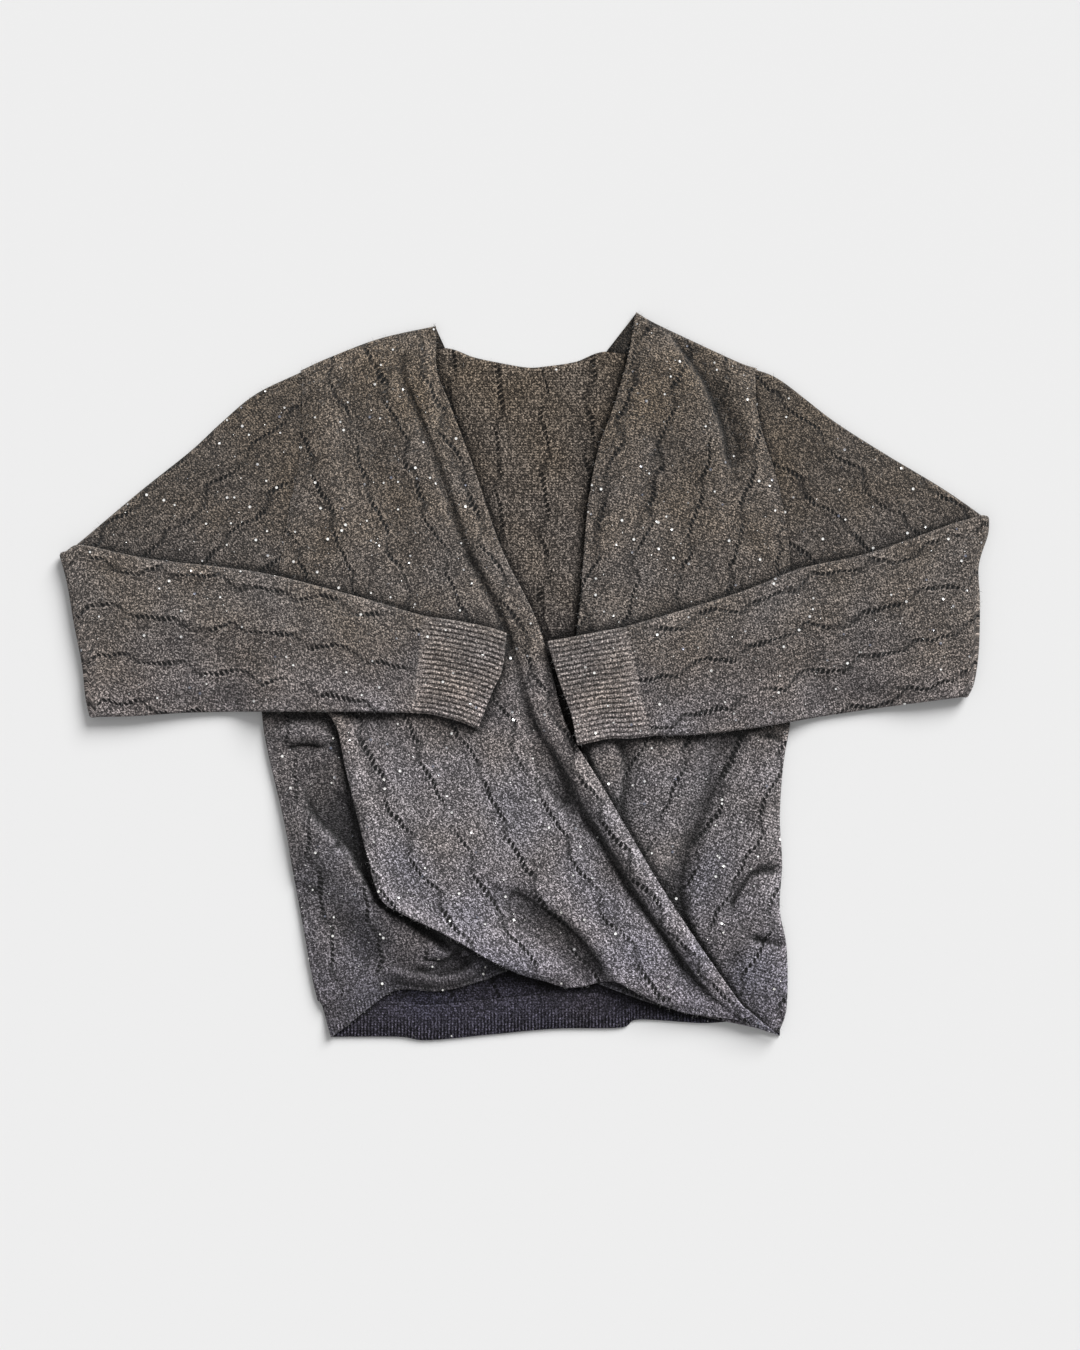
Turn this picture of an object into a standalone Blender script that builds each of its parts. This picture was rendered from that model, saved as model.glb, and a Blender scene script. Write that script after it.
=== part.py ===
"""Wrap front jumper laid flat on its back with both sleeves folded over the chest.

Every length below is in millimetres. X runs across the body to the wearer's left,
Y runs from the hem to the neck, Z is up from the floor the garment lies on.
"""
import bpy
import numpy as np
from collections import namedtuple

# Driving dimensions
MM = 0.001
WALL = 2.0
GAP = 0.45
SEAM_GAP = 0.35
ARMHOLE_GAP = 0.8
BAND_WIDTH = 28.0
HEM_HEIGHT = 31.0
RIB_PITCH = 4.3
RIB_RISE = 0.7
FOLD_RADIUS = 2.8
SLEEVE_DEPTH = 6.0
ARMHOLE_DEPTH = 4.7
ELBOW_CLEARANCE = 0.9
PUFF = 1.6
CELL = 2.0
HALF_SPAN = 460.0
CENTRE = (0.35, -2.5)
SUBDIVISIONS = 12

Fold = namedtuple("Fold", "spread rise path")
Cloth = namedtuple("Cloth", "colour roughness")

# Outline of the shoulders, right is the wearer's right and lies at negative X
SHOULDER_RIGHT = [(-195, 264), (-171, 275), (-126, 292), (-77, 303)]
SHOULDER_LEFT = [(98, 315), (113, 306), (153, 287), (188, 271), (203, 266)]
SEAM_RIGHT = [(-194, 255), (-151, 269), (-108, 279), (-69, 284)]
SEAM_LEFT = [(72, 281), (118, 275), (153, 267), (201, 257)]
NECK_BACK = [(-69, 284), (-44, 276), (-21, 271), (3, 267), (19, 268), (45, 272), (72, 281)]

# Armhole seams and side seams from the shoulder down to the hem
ARMHOLE_RIGHT = [(-195, 264), (-194, 229), (-196, 186), (-204, 147), (-211, 107), (-219, 55), (-228, 19)]
ARMHOLE_LEFT = [(203, 266), (203, 236), (209, 206), (219, 174), (228, 134), (232, 90), (231, 29)]
SIDE_RIGHT = [(-228, 19), (-230, -14), (-228, -40), (-223, -70), (-209, -130), (-202, -170),
              (-194, -213), (-183, -273), (-176, -296), (-168, -317)]
SIDE_LEFT = [(231, 29), (233, -10), (232, -42), (226, -80), (223, -125), (225, -165), (223, -205),
             (229, -240), (229, -290), (223, -316)]
HEM_BACK = [(-168, -317), (-110, -317), (-84, -320), (-29, -315), (27, -310), (84, -309),
            (100, -302), (155, -305), (191, -304), (223, -316)]

# Neck edges of the two fronts from the shoulder down
NECK_OVER = [(-77, 303), (-76, 265), (-64, 233), (-43, 177), (-20, 110), (9, 51), (23, 8),
             (37, -45), (70, -101), (123, -191), (182, -278), (197, -294), (222, -315)]
NECK_UNDER = [(98, 315), (92, 281), (77, 230), (65, 197), (56, 150), (51, 92), (48, 54),
              (44, 20), (45, -30), (52, -95), (40, -150), (5, -200), (-40, -240)]

# Free edges of the front that lies on top and of its side part
FOLD_EDGE = [(-228, 19), (-205, -12), (-167, -39), (-155, -84), (-144, -130), (-130, -182),
             (-121, -199), (-104, -209), (-73, -224), (-29, -249)]
HEM_OVER = [(-29, -249), (-3, -262), (18, -268), (42, -274), (77, -268), (104, -281),
            (139, -295), (184, -301), (199, -307), (222, -315)]
HEM_UNDER = [(-40, -240), (40, -262), (120, -290), (222, -313)]
HEM_SIDE = [(-168, -317), (-154, -307), (-133, -290), (-110, -276), (-73, -277), (-40, -269), (-12, -258)]
SIDE_PART_TOP = [(-229, -8), (-190, -16), (-150, -30)]
SIDE_PART_INNER = [(-150, -30), (-118, -84), (-102, -130), (-88, -175), (-55, -205), (-12, -228)]

# Sleeve edges, from the armhole to the elbow fold and back to the cuff
ARM_TOP_RIGHT = [(-195, 264), (-234, 244), (-264, 219), (-291, 194), (-336, 158), (-387, 115), (-405, 105)]
ARM_TOP_LEFT = [(203, 266), (224, 256), (269, 221), (314, 192), (359, 165), (383, 149), (405, 137)]
ARM_UNDER_RIGHT = [(-229, 19), (-275, -1), (-325, -22), (-378, -39)]
ARM_UNDER_LEFT = [(232, 29), (280, 12), (330, -4), (386, -21)]
ELBOW_RIGHT = [(-405, 105), (-398, 79), (-392, 44), (-385, 8), (-382, -20), (-378, -39)]
ELBOW_LEFT = [(405, 137), (404, 121), (396, 94), (397, 62), (396, 20), (392, -8), (386, -21)]
FOREARM_TOP_RIGHT = [(-405, 105), (-387, 112), (-357, 106), (-321, 99), (-231, 88), (-156, 70), (-87, 50)]
FOREARM_TOP_LEFT = [(405, 137), (374, 131), (344, 120), (293, 103), (239, 91), (194, 73), (134, 54), (89, 41)]
FOREARM_LOW_RIGHT = [(-378, -39), (-336, -37), (-288, -34), (-186, -33), (-97, -34)]
FOREARM_LOW_LEFT = [(386, -21), (314, -29), (254, -38), (194, -48), (149, -53), (110, -54)]
CUFF_SEAM_RIGHT = [(-87, 50), (-92, 8), (-97, -34)]
CUFF_SEAM_LEFT = [(89, 41), (99, -8), (110, -54)]
CUFF_END_RIGHT = [(-15, 35), (-19, 3), (-27, -15), (-40, -48)]
CUFF_END_LEFT = [(20, 28), (26, 8), (32, -11), (41, -36), (46, -62)]
CUFF_TOP_RIGHT = [(-87, 50), (-60, 46), (-30, 40), (-15, 35)]
CUFF_TOP_LEFT = [(89, 41), (59, 35), (38, 31), (20, 28)]
CUFF_LOW_RIGHT = [(-97, -34), (-81, -35), (-57, -41), (-40, -48)]
CUFF_LOW_LEFT = [(110, -54), (90, -56), (74, -56), (46, -62)]

# Soft folds, a positive rise is a ridge and a negative rise is a valley
FOLDS_UNDER = [
    Fold(11, -2.6, [(118, 297), (151, 264), (173, 234), (197, 203), (208, 168)]),
    Fold(11, 2.4, [(103, 300), (129, 238), (153, 186), (171, 151)]),
    Fold(7, 1.8, [(104, 188), (90, 165), (73, 112), (60, 80), (46, 42)]),
    Fold(9, -1.8, [(184, -56), (158, -104), (139, -162), (144, -197)]),
    Fold(10, 2.2, [(201, -75), (175, -136), (164, -180)]),
    Fold(8, -1.5, [(77, -62), (80, -110), (92, -145)]),
    Fold(6, -1.6, [(230, -62), (209, -58)]),
    Fold(7, 2.0, [(228, -85), (205, -90), (188, -98)]),
    Fold(6, -1.6, [(222, -116), (206, -115)]),
    Fold(7, 2.2, [(224, -145), (204, -150), (182, -165)]),
    Fold(6, -1.8, [(224, -172), (196, -178), (170, -215)]),
    Fold(7, 2.0, [(223, -205), (203, -212), (186, -228)]),
    Fold(6, -1.6, [(224, -236), (196, -231)])]
FOLDS_OVER = [
    Fold(8, -1.6, [(-90, 238), (-87, 201), (-57, 141), (-21, 80), (-2, 40)]),
    Fold(8, -1.8, [(16, -50), (49, -117), (89, -181), (118, -232), (153, -280)]),
    Fold(9, 1.6, [(0, -40), (34, -110), (70, -170), (104, -228)]),
    Fold(10, -3.4, [(-30, -180), (0, -214), (30, -243), (75, -266)]),
    Fold(8, 3.2, [(31, -188), (52, -228), (78, -262)]),
    Fold(7, -1.4, [(84, -184), (118, -245), (157, -294)]),
    Fold(12, 3.0, [(-158, -60), (-146, -110), (-126, -175), (-95, -205), (-40, -236)]),
    Fold(10, 1.6, [(-110, -60), (-70, -130), (-25, -185)])]
FOLDS_SIDE = [
    Fold(6, -2.0, [(-214, -66), (-191, -62), (-173, -64)]),
    Fold(7, 2.6, [(-216, -84), (-192, -92), (-170, -104)]),
    Fold(6, -2.0, [(-212, -104), (-184, -106), (-156, -143), (-130, -184), (-112, -202)]),
    Fold(7, 3.0, [(-206, -128), (-180, -136), (-164, -154), (-138, -191)]),
    Fold(6, -2.0, [(-200, -155), (-182, -182), (-164, -209), (-150, -233), (-118, -257)]),
    Fold(7, 2.2, [(-143, -203), (-108, -216), (-77, -238), (-62, -250)]),
    Fold(7, 2.2, [(-194, -190), (-178, -220), (-164, -262)])]
FOLDS_FOREARM_RIGHT = [
    Fold(9, -1.8, [(-391, 96), (-351, 90), (-299, 80), (-204, 70), (-108, 50)]),
    Fold(12, -1.4, [(-385, 23), (-329, 18), (-285, 16), (-237, 10), (-143, -5)]),
    Fold(12, 1.6, [(-370, 55), (-300, 48), (-220, 40), (-140, 24)]),
    Fold(10, 1.2, [(-360, -10), (-300, -8), (-220, -12), (-150, -18)])]
FOLDS_FOREARM_LEFT = [
    Fold(9, -1.8, [(390, 118), (344, 106), (293, 90), (239, 78), (134, 44)]),
    Fold(12, 1.6, [(370, 85), (300, 66), (230, 50), (150, 24)]),
    Fold(12, -1.4, [(380, 44), (320, 26), (250, 12), (160, -12)]),
    Fold(10, 1.4, [(372, 8), (310, -6), (240, -16), (160, -34)])]
FOLDS_ARM_RIGHT = [
    Fold(12, 1.8, [(-214, 230), (-262, 190), (-310, 150)]),
    Fold(10, -1.2, [(-225, 190), (-262, 158), (-300, 128)])]
FOLDS_ARM_LEFT = [
    Fold(12, 1.8, [(222, 232), (268, 196), (326, 158)]),
    Fold(10, -1.2, [(232, 196), (278, 160), (320, 138)])]

KNIT = Cloth((0.105, 0.092, 0.086), 0.95)
KNIT_SHADE = Cloth((0.088, 0.078, 0.076), 0.95)
KNIT_RIB = Cloth((0.097, 0.086, 0.082), 0.95)


def empty_the_scene():
    """Removes whatever the session starts with."""
    for item in list(bpy.data.objects):
        bpy.data.objects.remove(item, do_unlink=True)


def dense_line(table):
    """Closely spaced points of a smooth line through a table, 24 to each of its steps."""
    points = np.array(table, float)
    padded = np.vstack([2 * points[0] - points[1], points, 2 * points[-1] - points[-2]])
    step = np.linspace(0.0, 1.0, 24, endpoint=False)[:, None]
    pieces = []
    for a, b, c, d in zip(padded[:-3], padded[1:-2], padded[2:-1], padded[3:]):
        cubic = 0.5 * (2 * b + (c - a) * step + (2 * a - 5 * b + 4 * c - d) * step ** 2
                       + (3 * b - a - 3 * c + d) * step ** 3)
        pieces.append(cubic)
    return np.vstack(pieces + [points[-1:]])


def lengths(points):
    """Length of a line of straight pieces up to each of its points."""
    return np.concatenate([[0.0], np.cumsum(np.linalg.norm(np.diff(points, axis=0), axis=1))])


def along(points, places):
    """Points at given fractions of the length of a line of straight pieces."""
    points = np.array(points, float)
    length = lengths(points)
    wanted = np.asarray(places, float) * length[-1]
    return np.stack([np.interp(wanted, length, points[:, k]) for k in range(2)], axis=-1)


def curve(table, places):
    """Points at given fractions of the length of a smooth line through a table."""
    return along(dense_line(table), places)


def reach(table, index):
    """Fraction of a smooth line's length at which it passes a point of its table."""
    length = lengths(dense_line(table))
    return length[24 * index] / length[-1]


def patch(top, bottom, left, right, u, v):
    """Points spanned by four edges, u runs left to right and v runs top to bottom."""
    u, v = np.broadcast_arrays(np.asarray(u, float), np.asarray(v, float))
    across, down = u[..., None], v[..., None]
    sides = (1 - across) * curve(left, v) + across * curve(right, v)
    ends = (1 - down) * curve(top, u) + down * curve(bottom, u)
    a, b = np.array(top[0], float), np.array(top[-1], float)
    c, d = np.array(bottom[0], float), np.array(bottom[-1], float)
    corners = (1 - down) * ((1 - across) * a + across * b) + down * ((1 - across) * c + across * d)
    return sides + ends - corners


def distance(xy, table):
    """Distance of every point from a smooth path and the fraction along it."""
    path = curve(table, np.linspace(0, 1, 25))
    best = np.full(xy.shape[:-1], 1e9)
    along = np.zeros(xy.shape[:-1])
    for k, (a, b) in enumerate(zip(path[:-1], path[1:])):
        line = b - a
        t = np.clip(((xy - a) @ line) / (line @ line), 0.0, 1.0)
        gap = np.linalg.norm(xy - a - t[..., None] * line, axis=-1)
        nearer = gap < best
        best = np.where(nearer, gap, best)
        along = np.where(nearer, (k + t) / 24.0, along)
    return best, along


def folds_at(xy, folds):
    """Sum of soft ridges and valleys, each one fading out at its ends."""
    total = np.zeros(xy.shape[:-1])
    for fold in folds:
        gap, along = distance(xy, fold.path)
        fade = np.clip(np.minimum(along, 1 - along) * 5 + 0.25, 0, 1)
        total += fold.rise * fade * np.exp(-(gap / fold.spread) ** 2)
    return total


def triangle_samples(grid):
    """Points inside every cell of a grid, on the two triangles that the cell is split into."""
    a = np.linspace(0, 1, SUBDIVISIONS + 1)[:, None]
    b = np.linspace(0, 1, SUBDIVISIONS + 1)[None, :]
    p00, p10 = grid[:-1, :-1], grid[1:, :-1]
    p01, p11 = grid[:-1, 1:], grid[1:, 1:]
    weights = (np.where(a >= b, 1 - a, 1 - b), np.where(a >= b, a - b, 0.0),
               np.where(a >= b, 0.0, b - a), np.minimum(a, b))
    return sum(np.multiply.outer(p, w) for p, w in zip((p00, p10, p01, p11), weights))


class Pile:
    """Height of everything laid down so far."""

    def __init__(self):
        count = int(2 * HALF_SPAN / CELL)
        self.height = np.zeros((count, count))

    def cells(self, x, y):
        i = ((y + HALF_SPAN) / CELL).astype(int)
        j = ((x + HALF_SPAN) / CELL).astype(int)
        return i, j

    def add(self, grid):
        """Keeps the highest surface over each cell."""
        x, y, z = (triangle_samples(grid[..., k]) for k in range(3))
        np.maximum.at(self.height, self.cells(x, y), z)

    def widened(self):
        """Each cell takes the highest of itself and its neighbours."""
        pad = np.pad(self.height, 1, mode="edge")
        n, m = self.height.shape
        return np.max([pad[i:i + n, j:j + m] for i in range(3) for j in range(3)], axis=0)

    def rest(self, xy, low):
        """Raises an underside until its triangles clear the pile."""
        low = low.copy()
        wide = self.widened()
        x, y = triangle_samples(xy[..., 0]), triangle_samples(xy[..., 1])
        floor = wide[self.cells(x, y)] + GAP
        for share in (0.5, 0.5, 0.6, 0.6, 0.7, 0.7, 0.8, 1.0):
            need = (floor - triangle_samples(low)).max(axis=(-1, -2)).clip(0)
            pad = np.pad(need, 1)
            lift = np.max([pad[:-1, :-1], pad[1:, :-1], pad[:-1, 1:], pad[1:, 1:]], axis=0)
            low += share * lift
        return low


def material_for(name, cloth):
    """One knitted cloth surface."""
    material = bpy.data.materials.new(name + "_knit")
    material.use_nodes = True
    surface = material.node_tree.nodes["Principled BSDF"]
    surface.inputs["Base Color"].default_value = cloth.colour + (1.0,)
    surface.inputs["Roughness"].default_value = cloth.roughness
    surface.inputs["Metallic"].default_value = 0.0
    material.diffuse_color = cloth.colour + (1.0,)
    return material


def shell(name, outer, inner, cloth, around=False):
    """Closed body between two grids of points, open or closed around its second direction."""
    rows, columns = outer.shape[:2]
    points = np.vstack([outer.reshape(-1, 3), inner.reshape(-1, 3)]) - np.array(CENTRE + (0.0,))
    half = rows * columns
    faces = []

    def quad(a, b, c, d):
        faces.append((a, b, c))
        faces.append((a, c, d))

    last = columns if around else columns - 1
    for i in range(rows - 1):
        for j in range(last):
            k = (j + 1) % columns
            corners = (i * columns + j, (i + 1) * columns + j, (i + 1) * columns + k, i * columns + k)
            quad(*corners)
            a, b, c, d = (half + n for n in corners)
            faces.append((a, c, b))
            faces.append((a, d, c))
    for j in range(last):
        k = (j + 1) % columns
        quad(j, k, half + k, half + j)
        base = (rows - 1) * columns
        quad(base + k, base + j, half + base + j, half + base + k)
    if not around:
        for i in range(rows - 1):
            a, b = i * columns, (i + 1) * columns
            quad(b, a, half + a, half + b)
            a, b = a + columns - 1, b + columns - 1
            quad(a, b, half + b, half + a)
    corner = points[np.array(faces)]
    volume = np.einsum("ij,ij->", corner[:, 0], np.cross(corner[:, 1], corner[:, 2])) / 6
    if volume < 0:
        faces = [face[::-1] for face in faces]
    mesh = bpy.data.meshes.new(name)
    mesh.from_pydata((points * MM).tolist(), [], faces)
    mesh.validate()
    body = bpy.data.objects.new(name, mesh)
    body.data.materials.append(material_for(name, cloth))
    bpy.context.scene.collection.objects.link(body)
    return body


def with_height(xy, z):
    """Joins plan points and heights."""
    return np.concatenate([xy, np.broadcast_to(z, xy.shape[:-1])[..., None]], axis=-1)


def thickened(xy, low):
    """Upper surface over an underside, thicker in height where the cloth slopes."""
    dx = np.linalg.norm(np.gradient(xy, axis=1), axis=-1)
    dy = np.linalg.norm(np.gradient(xy, axis=0), axis=-1)
    slope = (np.gradient(low, axis=1) / dx) ** 2 + (np.gradient(low, axis=0) / dy) ** 2
    return low + WALL * np.sqrt(1 + slope).clip(1, 1.4)


def spaced(count, first=0.0, last=0.0):
    """Even fractions with an extra close one near either end."""
    places = np.linspace(0, 1, count)
    if first:
        places = np.insert(places, 1, first)
    if last:
        places = np.insert(places, len(places) - 1, 1 - last)
    return places


def fold_rows(edge, seam):
    """Grids for cloth that turns over a shoulder and runs back to its seam."""
    tangent = np.gradient(edge, axis=0)
    normal = np.stack([-tangent[:, 1], tangent[:, 0]], axis=-1)
    normal /= np.linalg.norm(normal, axis=1)[:, None]
    centre = edge - FOLD_RADIUS * normal
    outer, inner = [], []
    for share in (1.0, 0.5):
        line = centre + share * (seam - centre)
        outer.append(with_height(line, 0.0))
        inner.append(with_height(line, WALL))
    for angle in np.radians((-90, -45, 0, 45, 90)):
        for rows, radius in ((outer, FOLD_RADIUS), (inner, FOLD_RADIUS - WALL)):
            flat = centre + radius * np.cos(angle) * normal
            rows.append(with_height(flat, FOLD_RADIUS + radius * np.sin(angle)))
    return np.array(outer), np.array(inner), centre


def draped(xy, pile, folds, puff, edge_height=None, settle=35.0):
    """Underside of a sheet laid on the pile, with its folds and a soft rise in the middle."""
    lift = puff + folds_at(xy, folds)
    rows, columns = xy.shape[:2]
    low = np.full((rows, columns), 2.0) + GAP + np.maximum(lift, 0)
    width = np.linalg.norm(xy[:, -1] - xy[:, 0], axis=-1)[:, None]
    u = np.linspace(0, 1, columns)[None, :]
    side = (np.minimum(u, 1 - u) * width / 22.0).clip(0, 1)
    floor = pile.rest(xy, np.zeros((rows, columns)))
    low = floor + np.maximum(lift, 0) * side ** 0.7
    if edge_height is not None:
        down = np.linalg.norm(xy - xy[:1], axis=-1)
        weight = np.exp(-(down / settle) ** 2)
        low = np.maximum(low, edge_height * weight + low * (1 - weight))
    return pile.rest(xy, low)


def laid_front(pile, edges, seam, folds, names, band_on_right, rows, columns):
    """One front and its neck band, turned over the shoulder and laid on the pile."""
    top, bottom, left, right = edges
    v = np.linspace(0, 1, rows)
    neck = right if band_on_right else left
    other = left if band_on_right else right
    width = np.linalg.norm(curve(neck, v) - curve(other, v), axis=-1)
    share = (BAND_WIDTH / width).clip(0.06, 0.30)
    hair = SEAM_GAP / width
    parts = []
    for is_band, count in ((False, columns), (True, 4)):
        s = spaced(count)[None, :]
        if band_on_right:
            start, end = (1 - share, 1 + 0 * share) if is_band else (0 * share, 1 - share - hair)
        else:
            start, end = (0 * share, share) if is_band else (share + hair, 1 + 0 * share)
        u = start[:, None] + (end - start)[:, None] * s
        xy = patch(top, bottom, left, right, u, v[:, None])
        back = curve(seam, u[0])
        outer, inner, centre = fold_rows(xy[0], back)
        weight = np.exp(-(v * 600 / 40.0) ** 2)[:, None, None]
        xy = xy + (centre - xy[0])[None] * weight
        parts.append((is_band, xy, outer, inner))
    for is_band, xy, outer, inner in parts:
        edge_height = 2 * FOLD_RADIUS - WALL
        puff = 0.9 if is_band else PUFF
        low = draped(xy, pile, folds, puff, edge_height)
        low[0] = edge_height
        high = thickened(xy, low)
        high[0] = edge_height + WALL
        outside = np.concatenate([outer, with_height(xy, high)[1:]])
        inside = np.concatenate([inner, with_height(xy, low)[1:]])
        name = names[1] if is_band else names[0]
        shell(name, outside, inside, KNIT_RIB if is_band else KNIT)
        parts[parts.index(next(p for p in parts if p[1] is xy))] = (is_band, xy, outside, inside)
    for _, _, outside, _ in parts:
        pile.add(outside)


def ring(centre, up, across, depth, wall_lift, flat_count):
    """Points around a flattened tube, on its upper wall, its rim, its lower wall and back."""
    half = depth / 2
    angles = np.radians((45, 90, 135))
    upper = centre + up * (half + wall_lift)[:, None]
    lower = centre - up * half
    far = [centre[-1] + half * (np.cos(a) * up[-1] + np.sin(a) * across[1]) for a in angles]
    near = [centre[0] + half * (-np.cos(a) * up[0] - np.sin(a) * across[0]) for a in angles]
    return np.vstack([upper, far, lower[::-1], near])


def sleeve(pile, name, tables, folds, flat_count, arm_rows, forearm_rows):
    """Flattened tube from the armhole to the elbow, folded over and back to the cuff."""
    arm_top, arm_under, armhole, elbow, fore_top, fore_low, seam = tables
    side = np.sign(elbow[0][0])
    chord = np.array(elbow[-1], float) - np.array(elbow[0], float)
    outward = np.array([-chord[1], chord[0]]) * side
    outward /= np.linalg.norm(outward)
    outward *= side * np.sign(outward[0])
    turn = SLEEVE_DEPTH / 2 + ELBOW_CLEARANCE / 2
    inset = (turn + SLEEVE_DEPTH / 2) * outward
    elbow_in = [tuple(np.array(p) - inset) for p in elbow]
    arm_top = arm_top[:-1] + [elbow_in[0]]
    arm_under = arm_under[:-1] + [elbow_in[-1]]
    fore_top = [elbow_in[0]] + fore_top[1:]
    fore_low = [elbow_in[-1]] + fore_low[1:]
    fore_top = [fore_top[0]] + [p for p in fore_top[1:] if abs(p[0]) < abs(elbow_in[0][0]) - 3]
    armhole = [(x + side * ARMHOLE_GAP, y) for x, y in armhole]
    arm_top = [armhole[0]] + arm_top[1:]
    arm_under = [armhole[-1]] + arm_under[1:]

    def sections(top, low, start, end, stations):
        w = np.linspace(0, 1, flat_count + 2)[None, :] * np.ones((len(stations), 1))
        line = patch(start, end, top, low, w, stations[:, None])
        width = np.linalg.norm(line[:, -1] - line[:, 0], axis=-1)
        margin = (SLEEVE_DEPTH / 2 / width)[:, None]
        w = np.hstack([0 * margin, margin + (1 - 2 * margin) * np.linspace(0, 1, flat_count)[None, :],
                       1 + 0 * margin])
        return stations, w

    def place(top, low, start, end, stations, w):
        a, b = np.broadcast_arrays(w, stations[:, None])
        grid_u, grid_v = b, a
        left, right = start, end
        return patch(top, low, left, right, grid_u, grid_v)

    outers, inners, tops = [], [], []
    arm_s, arm_w = sections(arm_top, arm_under, armhole, elbow_in, np.linspace(0, 1, arm_rows))
    arm_xy = place(arm_top, arm_under, armhole, elbow_in, arm_s, arm_w)
    fore_s, fore_w = sections(fore_top, fore_low, elbow_in, seam, np.linspace(0, 1, forearm_rows))
    fore_xy = place(fore_top, fore_low, elbow_in, seam, fore_s, fore_w)
    middle = 1 - np.abs(np.linspace(-1, 1, flat_count)) ** 4

    def add_ring(line, z, up, depth, lift):
        centre = with_height(line[1:-1], z)
        ups = np.tile(up, (flat_count, 1))
        direction = centre[-1] - centre[0]
        direction /= np.linalg.norm(direction)
        across = (direction, direction)
        outer = ring(centre, ups, across, depth, lift, flat_count)
        inner = ring(centre, ups, across, depth - 2 * WALL, lift, flat_count)
        return outer, inner

    rings = []
    for k in range(arm_rows):
        s = arm_s[k]
        depth = ARMHOLE_DEPTH + (SLEEVE_DEPTH - ARMHOLE_DEPTH) * min(1.0, s * 4)
        fade = min(1.0, s * 3, (1 - s) * 3)
        lift = np.maximum(0, PUFF + folds_at(arm_xy[k, 1:-1], folds[0])) * middle * fade
        rings.append(add_ring(arm_xy[k], depth / 2, np.array([0, 0, 1.0]), depth, lift))
    still = np.zeros(flat_count)
    for angle in np.radians((45, 90, 135)):
        line = arm_xy[-1] + turn * np.sin(angle) * outward
        z = SLEEVE_DEPTH / 2 + turn * (1 - np.cos(angle))
        up = np.append(-np.sin(angle) * outward, np.cos(angle))
        rings.append(add_ring(line, z, up, SLEEVE_DEPTH, still))
    arm_outer = np.array([outer for outer, inner in rings])
    pile.add(np.concatenate([arm_outer, arm_outer[:, :1]], axis=1))
    rest = pile.rest(fore_xy, np.zeros(fore_xy.shape[:2]))
    start_low = SLEEVE_DEPTH / 2 + 2 * turn - SLEEVE_DEPTH / 2
    run = np.linalg.norm(fore_xy - fore_xy[:1], axis=-1)
    weight = np.exp(-(run / 45.0) ** 2)
    low = np.maximum(rest, start_low * weight + rest * (1 - weight))
    low = pile.rest(fore_xy, low)
    low[0] = start_low
    low[:, 1] = np.maximum(low[:, 0], low[:, 1])
    low[:, -2] = np.maximum(low[:, -1], low[:, -2])
    for k in range(forearm_rows):
        s = fore_s[k]
        fade = min(1.0, s * 5, (1 - s) * 6)
        lift = np.maximum(0, PUFF + folds_at(fore_xy[k, 1:-1], folds[1])) * middle * fade
        z = low[k, 1:-1] + SLEEVE_DEPTH / 2
        centre = with_height(fore_xy[k, 1:-1], z)
        down = np.tile((0.0, 0.0, -1.0), (flat_count, 1))
        direction = centre[-1] - centre[0]
        direction /= np.linalg.norm(direction)
        pair = []
        for depth in (SLEEVE_DEPTH, SLEEVE_DEPTH - 2 * WALL):
            points = ring(centre, down, (direction, direction), depth, still, flat_count)
            points[flat_count + 3:2 * flat_count + 3, 2] += lift[::-1]
            pair.append(points)
        rings.append(tuple(pair))
    outer = np.array([o for o, i in rings])
    inner = np.array([i for o, i in rings])
    shell(name, outer, inner, KNIT, around=True)
    pile.add(np.concatenate([outer, outer[:, :1]], axis=1))
    return low[-1], fore_xy[-1]


def cuff(pile, name, tables, side, seam_low):
    """Ribbed flattened tube at the end of a sleeve."""
    top, low_edge, seam, end = tables
    depth = SLEEVE_DEPTH - 0.4
    stations = np.array([0.0, 0.5, 1.0])
    mean = np.linalg.norm(np.array(seam[0]) - np.array(seam[-1]))
    flat = 2 * int(round((mean - depth) / RIB_PITCH)) + 1
    shift = -side * SEAM_GAP
    seam = [(x + shift, y) for x, y in seam]
    top = [seam[0]] + top[1:]
    low_edge = [seam[-1]] + low_edge[1:]
    w = np.linspace(0, 1, flat + 2)[None, :] * np.ones((3, 1))
    line = patch(top, low_edge, seam, end, stations[:, None] + 0 * w, w)
    width = np.linalg.norm(line[:, -1] - line[:, 0], axis=-1)
    margin = (depth / 2 / width)[:, None]
    w = np.hstack([0 * margin, margin + (1 - 2 * margin) * np.linspace(0, 1, flat)[None, :], 1 + 0 * margin])
    xy = patch(top, low_edge, seam, end, stations[:, None] + 0 * w, w)
    low = pile.rest(xy, np.full(xy.shape[:2], seam_low.min() - 2.0))
    low = low.max(axis=1)[:, None] * np.ones((1, flat + 2))
    outer, inner = [], []
    ridge = np.where(np.arange(flat) % 2 == 0, RIB_RISE, 0.0)
    still = np.zeros(flat)
    for k in range(3):
        centre = with_height(xy[k, 1:-1], low[k, 1:-1] + depth / 2 + RIB_RISE)
        up = np.tile((0.0, 0.0, 1.0), (flat, 1))
        direction = centre[-1] - centre[0]
        direction /= np.linalg.norm(direction)
        points = ring(centre, up, (direction, direction), depth, ridge, flat)
        points[flat + 3:2 * flat + 3, 2] -= ridge[::-1]
        outer.append(points)
        inner.append(ring(centre, up, (direction, direction), depth - 2 * WALL, still, flat))
    outer, inner = np.array(outer), np.array(inner)
    shell(name, outer, inner, KNIT_RIB, around=True)


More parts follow.
